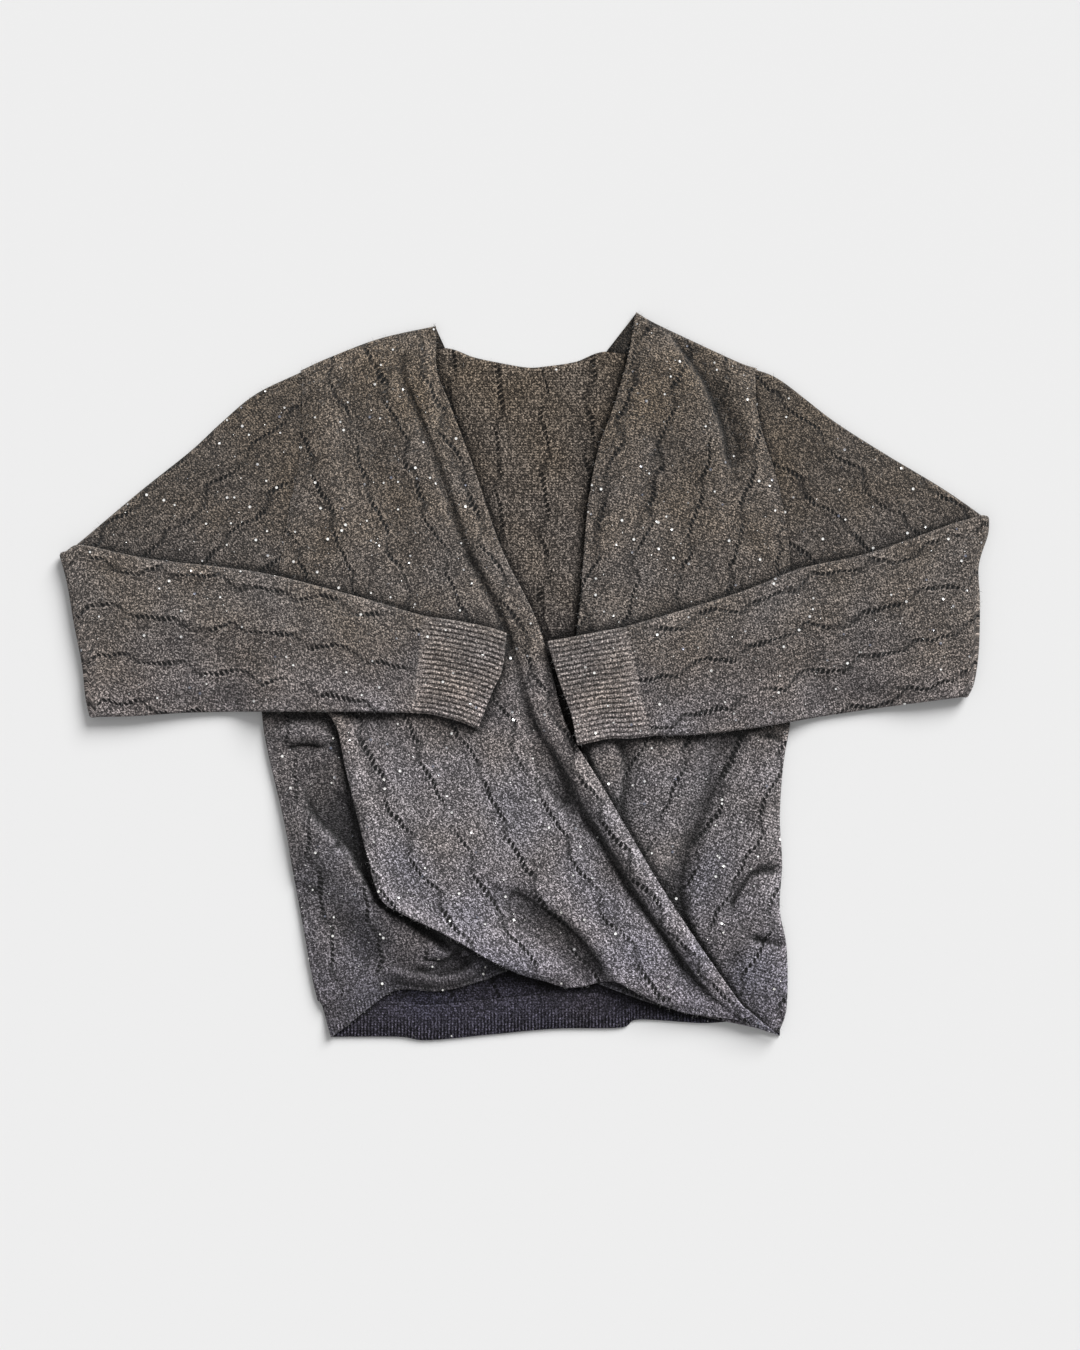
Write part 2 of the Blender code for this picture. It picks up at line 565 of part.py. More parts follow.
def ribbed_strip(name, upper_edge, lower_edge, low_rows, pile, cloth, ribs):
    """Strip of raised ribs over a plain underside."""
    count = 2 * ribs + 1
    u = np.linspace(0, 1, count)
    first, last = along(upper_edge, u), curve(lower_edge, u)
    xy = np.stack([first, last])
    low = pile.rest(xy, np.full(xy.shape[:2], low_rows)) if pile is not None else np.full(xy.shape[:2], low_rows)
    ridge = np.where(np.arange(count) % 2 == 0, 0.0, RIB_RISE)[None, :]
    outer = with_height(xy, low + WALL + ridge)
    inner = with_height(xy, low)
    shell(name, outer, inner, cloth)
    return outer


def make_back(pile):
    """Back panel and its ribbed hem, flat on the floor."""
    top = SEAM_RIGHT + NECK_BACK[1:-1] + SEAM_LEFT
    first = reach(top, len(SEAM_RIGHT) - 1)
    last = reach(top, len(top) - len(SEAM_LEFT))
    u = np.concatenate([np.linspace(0, first, 6), np.linspace(first, last, 8)[1:-1], np.linspace(last, 1, 6)])
    left = [SEAM_RIGHT[0]] + ARMHOLE_RIGHT[1:] + SIDE_RIGHT[1:]
    right = [SEAM_LEFT[-1]] + ARMHOLE_LEFT[1:] + SIDE_LEFT[1:]
    v = np.linspace(0, 1, 27)
    full = patch(top, HEM_BACK, left, right, u[None, :], v[:, None])
    hem = full[-1]
    row = np.array([0.0, HEM_HEIGHT])
    keep = full[:-2]
    keep = np.concatenate([keep, (hem + row)[None]])
    keep[0, :, 1] -= 2 * SEAM_GAP
    outer = with_height(keep, WALL)
    inner = with_height(keep, 0.0)
    shell("back_panel", outer, inner, KNIT_SHADE)
    pile.add(outer)
    upper = hem + row - np.array([0.0, SEAM_GAP])
    outer = ribbed_strip("back_hem_rib", upper, HEM_BACK, 0.0, None, KNIT_RIB, 90)
    pile.add(outer)


def make_side_part(pile):
    """Side part of the upper front, which shows beside its fold, and its ribbed hem."""
    left = [(-229, -8), (-228, -40), (-223, -70), (-209, -130), (-202, -170), (-194, -213), (-183, -273),
            (-176, -290)]
    lower = [(-176, -290), (-154, -278), (-130, -262), (-108, -250), (-73, -250), (-40, -243), (-12, -236)]
    u = np.linspace(0, 1, 10)
    v = np.linspace(0, 1, 19)
    inner_edge = SIDE_PART_INNER[:-1] + [lower[-1]]
    xy = patch(SIDE_PART_TOP, lower, left, inner_edge, u[None, :], v[:, None])
    low = draped(xy, pile, FOLDS_SIDE, 1.2)
    high = thickened(xy, low)
    shell("front_side", with_height(xy, high), with_height(xy, low), KNIT)
    upper = xy[-1] - np.array([0.0, SEAM_GAP])
    outer = ribbed_strip("front_side_rib", upper, HEM_SIDE, 2.0, pile, KNIT_RIB, 38)
    pile.add(with_height(xy, high))
    pile.add(outer)


def main():
    """Lays the pieces from the floor up."""
    empty_the_scene()
    pile = Pile()
    make_back(pile)
    left_edge = ARMHOLE_LEFT + SIDE_LEFT[1:-1] + [HEM_UNDER[-1]]
    laid_front(pile, (SHOULDER_LEFT, HEM_UNDER, NECK_UNDER, left_edge), SEAM_LEFT, FOLDS_UNDER,
               ("front_under", "neckband_under"), False, 32, 12)
    make_side_part(pile)
    right_edge = ARMHOLE_RIGHT[:-1] + [(-224, 20)] + FOLD_EDGE[1:]
    laid_front(pile, (SHOULDER_RIGHT, HEM_OVER, right_edge, NECK_OVER), SEAM_RIGHT, FOLDS_OVER,
               ("front_over", "neckband_over"), True, 34, 14)
    low, _ = sleeve(pile, "sleeve_right",
                    (ARM_TOP_RIGHT, ARM_UNDER_RIGHT, ARMHOLE_RIGHT, ELBOW_RIGHT, FOREARM_TOP_RIGHT,
                     FOREARM_LOW_RIGHT, CUFF_SEAM_RIGHT), (FOLDS_ARM_RIGHT, FOLDS_FOREARM_RIGHT), 7, 9, 15)
    cuff(pile, "cuff_right", (CUFF_TOP_RIGHT, CUFF_LOW_RIGHT, CUFF_SEAM_RIGHT, CUFF_END_RIGHT), -1, low)
    low, _ = sleeve(pile, "sleeve_left",
                    (ARM_TOP_LEFT, ARM_UNDER_LEFT, ARMHOLE_LEFT, ELBOW_LEFT, FOREARM_TOP_LEFT,
                     FOREARM_LOW_LEFT, CUFF_SEAM_LEFT), (FOLDS_ARM_LEFT, FOLDS_FOREARM_LEFT), 7, 9, 15)
    cuff(pile, "cuff_left", (CUFF_TOP_LEFT, CUFF_LOW_LEFT, CUFF_SEAM_LEFT, CUFF_END_LEFT), 1, low)


main()
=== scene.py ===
"""Finish and cloth of a wrap front jumper that lies flat with its sleeves folded over the chest.

Tables and cloth arrays are in millimetres in the garment's own plan: X to the wearer's left, Y
towards the neck, Z up from the surface that it lies on. Meshes and materials are in metres.
"""
from collections import namedtuple

import bpy
import numpy as np
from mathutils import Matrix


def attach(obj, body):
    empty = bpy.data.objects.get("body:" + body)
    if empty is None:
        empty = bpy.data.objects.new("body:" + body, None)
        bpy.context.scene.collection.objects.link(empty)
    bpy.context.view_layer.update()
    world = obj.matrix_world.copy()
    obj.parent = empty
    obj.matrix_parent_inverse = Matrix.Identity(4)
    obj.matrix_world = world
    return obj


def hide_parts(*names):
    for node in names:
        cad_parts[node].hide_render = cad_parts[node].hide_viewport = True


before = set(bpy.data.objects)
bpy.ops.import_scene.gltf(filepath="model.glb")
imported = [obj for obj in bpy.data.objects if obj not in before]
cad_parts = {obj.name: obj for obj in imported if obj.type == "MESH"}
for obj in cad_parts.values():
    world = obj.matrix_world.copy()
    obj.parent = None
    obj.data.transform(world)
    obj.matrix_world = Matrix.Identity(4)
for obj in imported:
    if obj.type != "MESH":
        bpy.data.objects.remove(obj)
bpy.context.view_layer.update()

bl_info = {
    "name": "Wrap Front Jumper",
    "version": (1, 0, 0),
    "blender": (4, 5, 0),
    "location": "3D View > Sidebar > Jumper",
    "description": "Builds the knitted surfaces of a wrap front jumper laid flat",
    "category": "Add Mesh",
}

MM = 0.001
TAU = 2 * np.pi

# The cloth, its layers and the rounding of its cut edges
WALL = 2.0
GAP = 0.35
EDGE_ROUND = 2.4
HEM_ROUND = 3.0
FOLD_RADIUS = 2.8
SLEEVE_DEPTH = 6.0
CUFF_DEPTH = 5.8
ARMHOLE_DEPTH = 4.7
ELBOW_CLEARANCE = 0.9

# Nominal lengths from the shoulder or the sleeve to the lower end, and the ribs around the hems
FRONT_LENGTH = 620.0
BACK_LENGTH = 590.0
BACK_HEM = 31.0
SIDE_HEM = 27.0
CUFF_LENGTH = 75.0
BACK_RIBS = 135
SIDE_RIBS = 57

# Shares of the yarn's colour taken off: painted shade inside the garment, painted light on lit
# ridges (negative), a darkening of the upper arms, and the most painted shade
INSIDE_SHADE = 0.76
LIT = -0.18
UPPER_ARM_SHADE = 0.18
DEEPEST_SHADE = 0.86

# The pile's square cells, the record's origin in plan, and the photograph's frame
CELL = 1.5
HALF_SPAN = 460.0
CENTRE = np.array([0.35, -2.5, 0.0])
PHOTO_SCALE = 0.87
PHOTO_SIZE = (1080, 1350)
PLAN_ORIGIN = (524, 673.5)
EYE_HEIGHT = 2.4

# One fleck of pale yarn
SPECK = 0.0013

# Eyelets: their pitch along a line, half width, half length and slant, and the share of a wave
# over which a line slants one way
EYELET_PITCH = 0.0045
EYELET_HALF = (0.00135, 0.0032)
SLANT = (0.76, 0.65)
WAVE_SPLIT = 0.64

Fold = namedtuple("Fold", "spread rise path")
Front = namedtuple("Front", "top bottom left right seam grain folds")
Tube = namedtuple("Tube", "top under armhole elbow fore_top fore_low seam arm_folds fore_folds")
End = namedtuple("End", "top low seam end")


def line(*numbers):
    """Plan points from their X and Y by turns."""
    return list(zip(numbers[::2], numbers[1::2]))


def fold(spread, rise, *numbers):
    """One soft fold: the width of its flanks, its height and its path."""
    return Fold(spread, rise, line(*numbers))


# Shoulders, right is the wearer's right and lies at negative X
SHOULDER_RIGHT = line(-195, 264, -171, 275, -126, 292, -77, 303)
SHOULDER_LEFT = line(98, 315, 113, 306, 153, 287, 188, 271, 203, 266)
SEAM_RIGHT = line(-194, 255, -151, 269, -108, 279, -69, 284)
SEAM_LEFT = line(72, 281, 118, 275, 153, 267, 201, 257)
NECK_BACK = line(-69, 284, -44, 276, -21, 271, 3, 267, 19, 268, 45, 272, 72, 281)

# Armholes and side seams from the shoulder down
ARMHOLE_RIGHT = line(-195, 264, -194, 229, -196, 186, -204, 147, -211, 107, -219, 55, -228, 19)
ARMHOLE_LEFT = line(203, 266, 203, 236, 209, 206, 219, 174, 228, 134, 232, 90, 231, 29)
SIDE_RIGHT = line(-228, 19, -230, -14, -228, -40, -223, -70, -209, -130, -202, -170, -194, -213, -183, -273,
    -176, -296, -168, -317)
SIDE_LEFT = line(231, 29, 233, -10, 232, -42, 226, -80, 223, -125, 225, -165, 223, -205, 229, -240,
    229, -290, 223, -316)
HEM_BACK = line(-168, -317, -110, -317, -84, -320, -29, -315, 27, -310, 84, -309, 100, -302, 155, -305,
    191, -304, 223, -316)

# Neck edges of the two fronts, and the free edges of the upper one and its side part
NECK_OVER = line(-77, 303, -76, 265, -64, 233, -43, 177, -20, 110, 9, 51, 23, 8, 37, -45, 70, -101,
    123, -191, 182, -278, 197, -294, 222, -315)
NECK_UNDER = line(98, 315, 92, 281, 77, 230, 65, 197, 56, 150, 51, 92, 48, 54, 44, 20, 45, -30, 52, -95,
    40, -150, 5, -200, -40, -240)
GRAIN_UNDER = line(98, 315, 77, 230, 56, 150, 44, 60, 22, -20, -16, -100, -66, -190)
FOLD_EDGE = line(-228, 19, -205, -12, -167, -39, -155, -84, -144, -130, -130, -182, -121, -199, -104, -209,
    -73, -224, -29, -249)
HEM_OVER = line(-29, -249, -3, -262, 18, -268, 42, -274, 77, -268, 104, -281, 139, -295, 184, -301,
    199, -307, 222, -315)
HEM_UNDER = line(-40, -240, 40, -262, 120, -290, 222, -313)
HEM_SIDE = line(-168, -317, -154, -307, -133, -290, -110, -276, -73, -277, -40, -269, -12, -258)
SIDE_PART_TOP = line(-229, -8, -190, -16, -150, -30)
SIDE_PART_LEFT = line(-229, -8, -228, -40, -223, -70, -209, -130, -202, -170, -194, -213, -183, -273,
    -176, -290)
SIDE_PART_LOW = line(-176, -290, -154, -278, -130, -262, -108, -250, -73, -250, -40, -243, -12, -236)
SIDE_PART_INNER = line(-150, -30, -118, -84, -102, -130, -88, -175, -55, -205, -12, -236)

# Soft folds, a positive rise is a ridge and a negative rise is a valley
FOLDS_UNDER = [
    fold((6, 18), 6.0, 101, 316, 118, 294, 136, 268, 153, 238, 164, 203, 168, 170),
    fold(26, 5.0, 128, 296, 150, 262, 166, 228, 174, 190),
    fold((15, 7), -10.0, 130, 299, 149, 268, 165, 238, 177, 205, 184, 172),
    fold(6, 3.0, 99, 270, 102, 215, 104, 188, 89, 158, 80, 133, 70, 103, 60, 85, 51, 69),
    fold(9, -3.0, 118, 215, 108, 160, 96, 118, 86, 76),
    fold(13, 3.0, 196, 250, 200, 200, 186, 150, 160, 110),
    fold(40, 4.0, 200, -90, 176, -150, 190, -250),
    fold((13, 7), -9.0, 77, -50, 88, -75, 88, -106, 80, -135, 86, -170),
    fold(7, 4.0, 59, -58, 61, -80, 64, -101),
    fold((12, 16), 7.0, 132, -45, 122, -80, 110, -114, 101, -154, 106, -190),
    fold((9, 14), -10.0, 190, -50, 170, -85, 154, -126, 140, -161, 134, -197, 143, -236),
    fold((14, 10), 7.0, 219, -74, 207, -120, 190, -155, 164, -188),
    fold((3, 5), -5.0, 227, -62, 218, -56, 207, -55),
    fold((3, 7), -7.0, 226, -120, 212, -115, 203, -123, 192, -136),
    fold((3, 8), -9.0, 227, -172, 210, -172, 197, -176, 187, -190, 179, -210),
    fold(9, 8.0, 221, -190, 203, -195, 186, -216, 172, -245),
    fold(9, -6.0, 198, -210, 184, -236, 183, -258),
    fold((3, 6), -8.0, 229, -237, 212, -234, 197, -230),
    fold(9, 6.0, 221, -251, 205, -249, 193, -260, 192, -280),
    fold(10, -5.0, 108, -171, 129, -210, 153, -249, 184, -288)]
FOLDS_OVER = [
    fold(8, -3.4, -60, 255, -66, 215, -46, 150, -20, 92, -2, 40, 8, -20),
    fold(14, -3.0, -150, 230, -120, 160, -96, 90),
    fold(12, 3.0, -176, 240, -164, 160, -150, 90),
    fold(15, 3.0, -110, 270, -92, 200, -66, 120),
    fold(50, 5.0, -99, -58, -73, -136, -21, -197),
    fold(36, 3.0, 40, -90, 96, -190, 150, -262),
    fold((8, 20), -17.0, -14, -190, 8, -205, 30, -221, 48, -238, 61, -254, 70, -268),
    fold((8, 18), 7.0, 92, -286, 80, -264, 67, -240, 53, -220, 36, -203, 16, -191),
    fold(9, 4.0, -38, -232, 5, -251, 44, -262),
    fold(10, 4.0, 31, -54, 57, -97, 84, -141, 114, -184, 144, -228, 175, -271, 205, -301),
    fold(8, -7.0, 10, -71, 32, -100, 54, -128, 76, -160, 95, -191, 117, -222, 135, -250, 160, -288),
    fold(7, -3.0, -3, -23, 20, -88, 51, -147, 76, -188),
    fold(11, 1.5, -157, -45, -146, -101, -132, -154, -112, -190, -82, -210, -38, -232),
    fold(22, -3.0, -73, -40, -56, -101, -21, -162)]
FOLDS_SIDE = [
    fold((17, 3.5), 8.0, -68, -247, -80, -238, -96, -226, -112, -214, -129, -203, -140, -186, -152, -168,
         -164, -154, -178, -141, -187, -128, -194, -112),
    fold((4, 3), -9.0, -66, -236, -84, -222, -104, -209, -120, -200),
    fold((24, 3.5), -13.0, -188, -110, -180, -122, -172, -130, -161, -140, -151, -150, -142, -164,
         -132, -182, -124, -198),
    fold((9, 5), 6.0, -212, -54, -191, -52, -171, -57),
    fold((1.8, 2.5), -4.0, -210, -67, -200, -63, -188, -62, -174, -64),
    fold(14, -3.0, -182, -75, -175, -95, -165, -120),
    fold((2, 4), -5.0, -172, -155, -165, -152, -161, -146),
    fold((2, 4), -3.5, -143, -199, -130, -197, -122, -199),
    fold((4, 6), -9.0, -84, -251, -73, -252, -62, -247, -56, -238),
    fold(16, -5.0, -208, -171, -182, -201, -151, -228, -121, -254),
    fold(12, 3.0, -208, -110, -202, -154, -193, -201),
    fold(4, -3.0, -207, -183, -195, -185, -179, -190)]
FOLDS_CURL = [
    fold((3, 5), 6.5, -118, -257, -100, -263, -82, -266, -62, -266, -46, -258, -38, -250),
    fold((3, 3), -4.0, -96, -256, -80, -259, -64, -258, -52, -250)]
FOREARM_FOLDS_RIGHT = [
    fold(6, 2.5, -402, 98, -360, 100, -320, 93, -240, 82),
    fold(8, -1.8, -391, 96, -351, 90, -299, 80, -204, 70, -108, 50),
    fold(10, -1.6, -385, 23, -329, 18, -285, 16, -237, 10, -143, -5),
    fold(11, 1.6, -370, 55, -300, 48, -220, 40, -140, 24),
    fold(9, 1.2, -360, -10, -300, -8, -220, -12, -150, -18)]
FOREARM_FOLDS_LEFT = [
    fold(6, 3.0, 403, 130, 374, 124, 340, 113),
    fold(8, -1.8, 390, 118, 344, 106, 293, 90, 239, 78, 134, 44),
    fold(11, 1.6, 370, 85, 300, 66, 230, 50, 150, 24),
    fold(10, -1.6, 380, 44, 320, 26, 250, 12, 160, -12),
    fold(9, 1.4, 372, 8, 310, -6, 240, -16, 160, -34)]
ARM_FOLDS_RIGHT = [
    fold(11, 1.8, -214, 230, -262, 190, -310, 150),
    fold(9, -1.4, -225, 190, -262, 158, -300, 128)]
ARM_FOLDS_LEFT = [
    fold(11, 1.8, 222, 232, 268, 196, 326, 158),
    fold(9, -1.4, 232, 196, 278, 160, 320, 138)]
SLEEVE_RIGHT = Tube(
    line(-195, 264, -234, 244, -264, 219, -291, 194, -336, 158, -387, 115, -405, 105),
    line(-229, 19, -275, -1, -325, -22, -378, -39), ARMHOLE_RIGHT,
    line(-405, 105, -398, 79, -392, 44, -385, 8, -382, -20, -378, -39),
    line(-405, 105, -387, 112, -357, 106, -321, 99, -231, 88, -156, 70, -87, 50),
    line(-378, -39, -336, -37, -288, -34, -186, -33, -97, -34),
    line(-87, 50, -92, 8, -97, -34), ARM_FOLDS_RIGHT, FOREARM_FOLDS_RIGHT)
SLEEVE_LEFT = Tube(
    line(203, 266, 224, 256, 269, 221, 314, 192, 359, 165, 383, 149, 405, 137),
    line(232, 29, 280, 12, 330, -4, 386, -21), ARMHOLE_LEFT,
    line(405, 137, 404, 121, 396, 94, 397, 62, 396, 20, 392, -8, 386, -21),
    line(405, 137, 374, 131, 344, 120, 293, 103, 239, 91, 194, 73, 134, 54, 89, 41),
    line(386, -21, 314, -29, 254, -38, 194, -48, 149, -53, 110, -54),
    line(89, 41, 99, -8, 110, -54), ARM_FOLDS_LEFT, FOREARM_FOLDS_LEFT)
CUFF_RIGHT = End(
    line(-87, 50, -60, 46, -30, 40, -15, 35),
    line(-97, -34, -81, -35, -57, -41, -40, -48),
    line(-87, 50, -92, 8, -97, -34),
    line(-15, 35, -19, 3, -27, -15, -40, -48))
CUFF_LEFT = End(
    line(89, 41, 59, 35, 38, 31, 20, 28),
    line(110, -54, 90, -56, 74, -56, 46, -62),
    line(89, 41, 99, -8, 110, -54),
    line(20, 28, 26, 8, 32, -11, 41, -36, 46, -62))
FRONT_UNDER = Front(
    SHOULDER_LEFT, HEM_UNDER, NECK_UNDER, ARMHOLE_LEFT + SIDE_LEFT[1:-1] + [HEM_UNDER[-1]], SEAM_LEFT,
    GRAIN_UNDER, FOLDS_UNDER)
FRONT_OVER = Front(
    SHOULDER_RIGHT, HEM_OVER, ARMHOLE_RIGHT[:-1] + [(-224, 20)] + FOLD_EDGE[1:], NECK_OVER, SEAM_RIGHT,
    NECK_OVER, FOLDS_OVER)


def length(label, value, about):
    return bpy.props.FloatProperty(name=label, description=about, default=value, unit="LENGTH")


def count(label, value, about):
    return bpy.props.IntProperty(name=label, description=about, default=value, min=1)


def colour(label, value, about):
    return bpy.props.FloatVectorProperty(name=label, description=about, default=value, subtype="COLOR")


class JumperSizes(bpy.types.PropertyGroup):
    """Sizes of the knit and its trims."""
    stitch_width: length("Stitch Width", 0.0030, "Width of one knitted stitch")
    stitch_height: length("Stitch Height", 0.0023, "Height of one knitted row")
    rib_pitch: length("Rib Pitch", 0.0043, "Distance from one rib of a cuff to the next")
    rib_rise: length("Rib Rise", 0.0013, "Height of a rib over its groove")
    lace_spacing: length("Lace Spacing", 0.040, "Distance between two lines of eyelets")
    lace_wave: length("Lace Wave", 0.052, "Length of one wave of a line of eyelets")
    sequin_radius: length("Sequin Radius", 0.0013, "Radius of one sequin")
    sequin_count: count("Sequins", 640, "Number of sequins sewn on")
    hair_count: count("Loose Fibres", 14000, "Number of loose fibres that stand off the yarn")
    hair_length: length("Fibre Length", 0.0045, "Length of a loose fibre")


class JumperColours(bpy.types.PropertyGroup):
    """Colours of the yarn, its sequins and the stage."""
    dark_yarn: colour("Dark Yarn", (0.0365, 0.0360, 0.0365), "Darker strand of the heathered yarn")
    pale_yarn: colour("Pale Yarn", (0.450, 0.443, 0.440), "Paler strand of the heathered yarn")
    # The sequins' pale colour stands in for the light that they catch: a painted glint
    sequin: colour("Sequin", (0.90, 0.88, 0.84), "Colour of the sequins")
    floor: colour("Floor", (0.765, 0.765, 0.765), "Colour of the surface under the jumper")


def curve(table, places):
    """Points at fractions of the length of the smooth line through a table: a cubic over each of
    its steps, whose slope at a point is that between the points beside it."""
    points = np.array(table, float)
    padded = np.vstack([2 * points[0] - points[1], points, 2 * points[-1] - points[-2]])
    step = np.linspace(0.0, 1.0, 24, endpoint=False)[:, None]
    a, b, c, d = (padded[k:len(padded) - 3 + k, None] for k in range(4))
    cubic = 0.5 * (2 * b + (c - a) * step + (2 * a - 5 * b + 4 * c - d) * step ** 2
                   + (3 * b - a - 3 * c + d) * step ** 3)
    dense = np.vstack([cubic.reshape(-1, 2), points[-1:]])
    reach = run_length(dense)
    wanted = np.asarray(places, float) * reach[-1]
    return np.stack([np.interp(wanted, reach, dense[:, k]) for k in range(2)], axis=-1)


def run_length(points, axis=0):
    """Length of rows of points up to each point, the sum of the steps before it."""
    step = np.linalg.norm(np.diff(points, axis=axis), axis=-1)
    first = np.zeros_like(np.take(step, [0], axis=axis))
    return np.concatenate([first, np.cumsum(step, axis=axis)], axis=axis)


def unit(ways):
    """Directions over their own length."""
    return ways / np.maximum(np.linalg.norm(ways, axis=-1), 1e-9)[..., None]


def patch(top, bottom, left, right, u, v):
    """Points spanned by four edges: the two sides blended across, plus the two ends blended
    down, less the plane through the four corners."""
    u, v = np.broadcast_arrays(np.asarray(u, float), np.asarray(v, float))
    across, down = u[..., None], v[..., None]
    sides = (1 - across) * curve(left, v) + across * curve(right, v)
    ends = (1 - down) * curve(top, u) + down * curve(bottom, u)
    a, b, c, d = (np.array(p, float) for p in (top[0], top[-1], bottom[0], bottom[-1]))
    plane = (1 - down) * ((1 - across) * a + across * b) + down * ((1 - across) * c + across * d)
    return sides + ends - plane


def distance(xy, table):
    """Distance of every point from a smooth path, the fraction along it of the nearest place, and
    whether the point lies on its left."""
    path = curve(table, np.linspace(0, 1, 21))
    best = np.full(xy.shape[:-1], 1e9)
    along = np.zeros(xy.shape[:-1])
    left = np.zeros(xy.shape[:-1], bool)
    for k, (a, b) in enumerate(zip(path[:-1], path[1:])):
        way = b - a
        t = np.clip(((xy - a) @ way) / (way @ way), 0.0, 1.0)
        gap = np.linalg.norm(xy - a - t[..., None] * way, axis=-1)
        nearer = gap < best
        turn = way[0] * (xy[..., 1] - a[1]) - way[1] * (xy[..., 0] - a[0])
        best = np.where(nearer, gap, best)
        along = np.where(nearer, (k + t) / 20.0, along)
        left = np.where(nearer, turn > 0, left)
    return best, along, left


def settled(lift, limit=9.0):
    """Lift of cloth that can't stand high: what is over the limit counts for a third."""
    return np.where(lift > limit, limit + (lift - limit) / 3.0, lift).clip(0.0)


def folds_at(xy, folds):
    """Sum of ridges and valleys: rise times a bell of the distance, fading out at both ends. A
    fold with two spreads has one flank on the left of its path and the other on the right."""
    total = np.zeros(xy.shape[:-1])
    for one in folds:
        gap, along, left = distance(xy, one.path)
        fade = np.clip(np.minimum(along, 1 - along) * 5 + 0.25, 0, 1)
        spread = np.where(left, *one.spread) if isinstance(one.spread, tuple) else one.spread
        total += one.rise * fade * np.exp(-(gap / spread) ** 2)
    return total


def valley_shade(xy, folds):
    """Painted shade in the valleys: 0.052 for every millimetre of their depth, and LIT, painted light,
    elsewhere.
    """
    depth = (-folds_at(xy, [one for one in folds if one.rise < 0])).clip(0)
    return (0.052 * depth).clip(0, 0.9) + LIT


def ripple(xy, size, seed):
    """Gentle unevenness: eight sine waves of seeded direction, length near size and phase."""
    rng = np.random.default_rng(seed)
    angle = rng.uniform(0, np.pi, 8)
    wave = size * rng.uniform(0.7, 1.5, 8)
    phase = rng.uniform(0, TAU, 8)
    reach = xy[..., 0, None] * np.cos(angle) + xy[..., 1, None] * np.sin(angle)
    return np.sin(reach * TAU / wave + phase).sum(axis=-1) / 4.0


def close_ends(steps, span, first=True, last=True):
    """Even fractions of a span in millimetres, with closer ones by its free ends."""
    extra = np.array([0.3, 0.8, 1.6, 2.7, 4.2]) / span
    parts = [np.linspace(0, 1, steps)] + [extra] * first + [1 - extra] * last
    return np.unique(np.concatenate(parts).round(6))


def smoothed(field, sigma):
    """Field blurred by a bell of the given width in cells, along one axis and then the other."""
    reach = int(3 * sigma)
    offsets = np.arange(-reach, reach + 1)
    weights = np.exp(-0.5 * (offsets / sigma) ** 2)
    weights /= weights.sum()
    for axis in (0, 1):
        field = sum(w * np.roll(field, k, axis=axis) for k, w in zip(offsets, weights))
    return field


def spread_out(field, cells):
    """Each cell takes the highest value within a square of cells around it."""
    for axis in (0, 1):
        field = np.max([np.roll(field, k, axis=axis) for k in range(-cells, cells + 1)], axis=0)
    return field


def weighted(corners, a, b):
    """Sum of four corners by closeness: near and far along a, each near and far along b."""
    return sum(w * c for w, c in zip(((1 - a) * (1 - b), a * (1 - b), (1 - a) * b, a * b), corners))


class Pile:
    """Height of the cloth laid down so far, in square cells."""

    def __init__(self, height=None):
        cells = int(2 * HALF_SPAN / CELL)
        self.height = np.zeros((cells, cells)) if height is None else height

    def add(self, grid):
        """Keeps the highest surface over each cell, from five points to a side of each grid cell."""
        share = np.linspace(0, 1, 5)
        corners = (grid[:-1, :-1], grid[1:, :-1], grid[:-1, 1:], grid[1:, 1:])
        x, y, z = (weighted([c[..., k, None, None] for c in corners], share[:, None], share[None, :])
                   for k in range(3))
        i, j = (((value + HALF_SPAN) / CELL).astype(int) for value in (y, x))
        np.maximum.at(self.height, (i, j), z)

    def sampled(self, field, xy):
        """Value between cell centres, weighted by closeness."""
        y, x = ((xy[..., k] + HALF_SPAN) / CELL - 0.5 for k in (1, 0))
        i, j = np.floor(y).astype(int), np.floor(x).astype(int)
        return weighted((field[i, j], field[i + 1, j], field[i, j + 1], field[i + 1, j + 1]), y - i, x - j)

    def cushion(self, xy, reach=3, sigma=2.2):
        """Underside of cloth laid over the pile: its height spread out and blurred, but nowhere
        under the height itself, so that the cloth bridges small steps."""
        close = spread_out(self.height, 1)
        soft = smoothed(spread_out(self.height, reach), sigma)
        bed = np.maximum(smoothed(np.maximum(soft, close), 0.8), close)
        return self.sampled(bed, xy) + GAP


LAID = {"pile": Pile(), "skins": [], "shells": []}


def with_height(xy, z):
    """Joins plan points and heights."""
    return np.concatenate([xy, np.broadcast_to(z, xy.shape[:-1])[..., None]], axis=-1)


def closed_ring(grid):
    """Grid whose first column stands again at its end."""
    return np.concatenate([grid, grid[:, :1]], axis=1)


def rounded(gap, radius=EDGE_ROUND):
    """Quarter circle that rises from 0 at an edge to 1 at the radius."""
    return np.sqrt(np.clip(1 - (1 - np.clip(gap / radius, 0, 1)) ** 2, 0, 1))


def eased(share):
    """Smooth step from 0 to 1."""
    share = np.clip(share, 0, 1)
    return share * share * (3 - 2 * share)


def from_low(low, share):
    """Runs from low to 1 as the share runs from 0 to 1."""
    return low + (1 - low) * share


def thickness(xy, low, edge_gap):
    """Height of the wall over its underside: the wall's thickness over the cosine of the slope,
    rounded off at a free edge."""
    slope = sum((np.gradient(low, axis=axis) / np.maximum(
        np.linalg.norm(np.gradient(xy, axis=axis), axis=-1), 1e-3)) ** 2 for axis in (1, 0))
    return WALL * np.sqrt(1 + slope).clip(1, 1.5) * from_low(0.3, rounded(edge_gap))


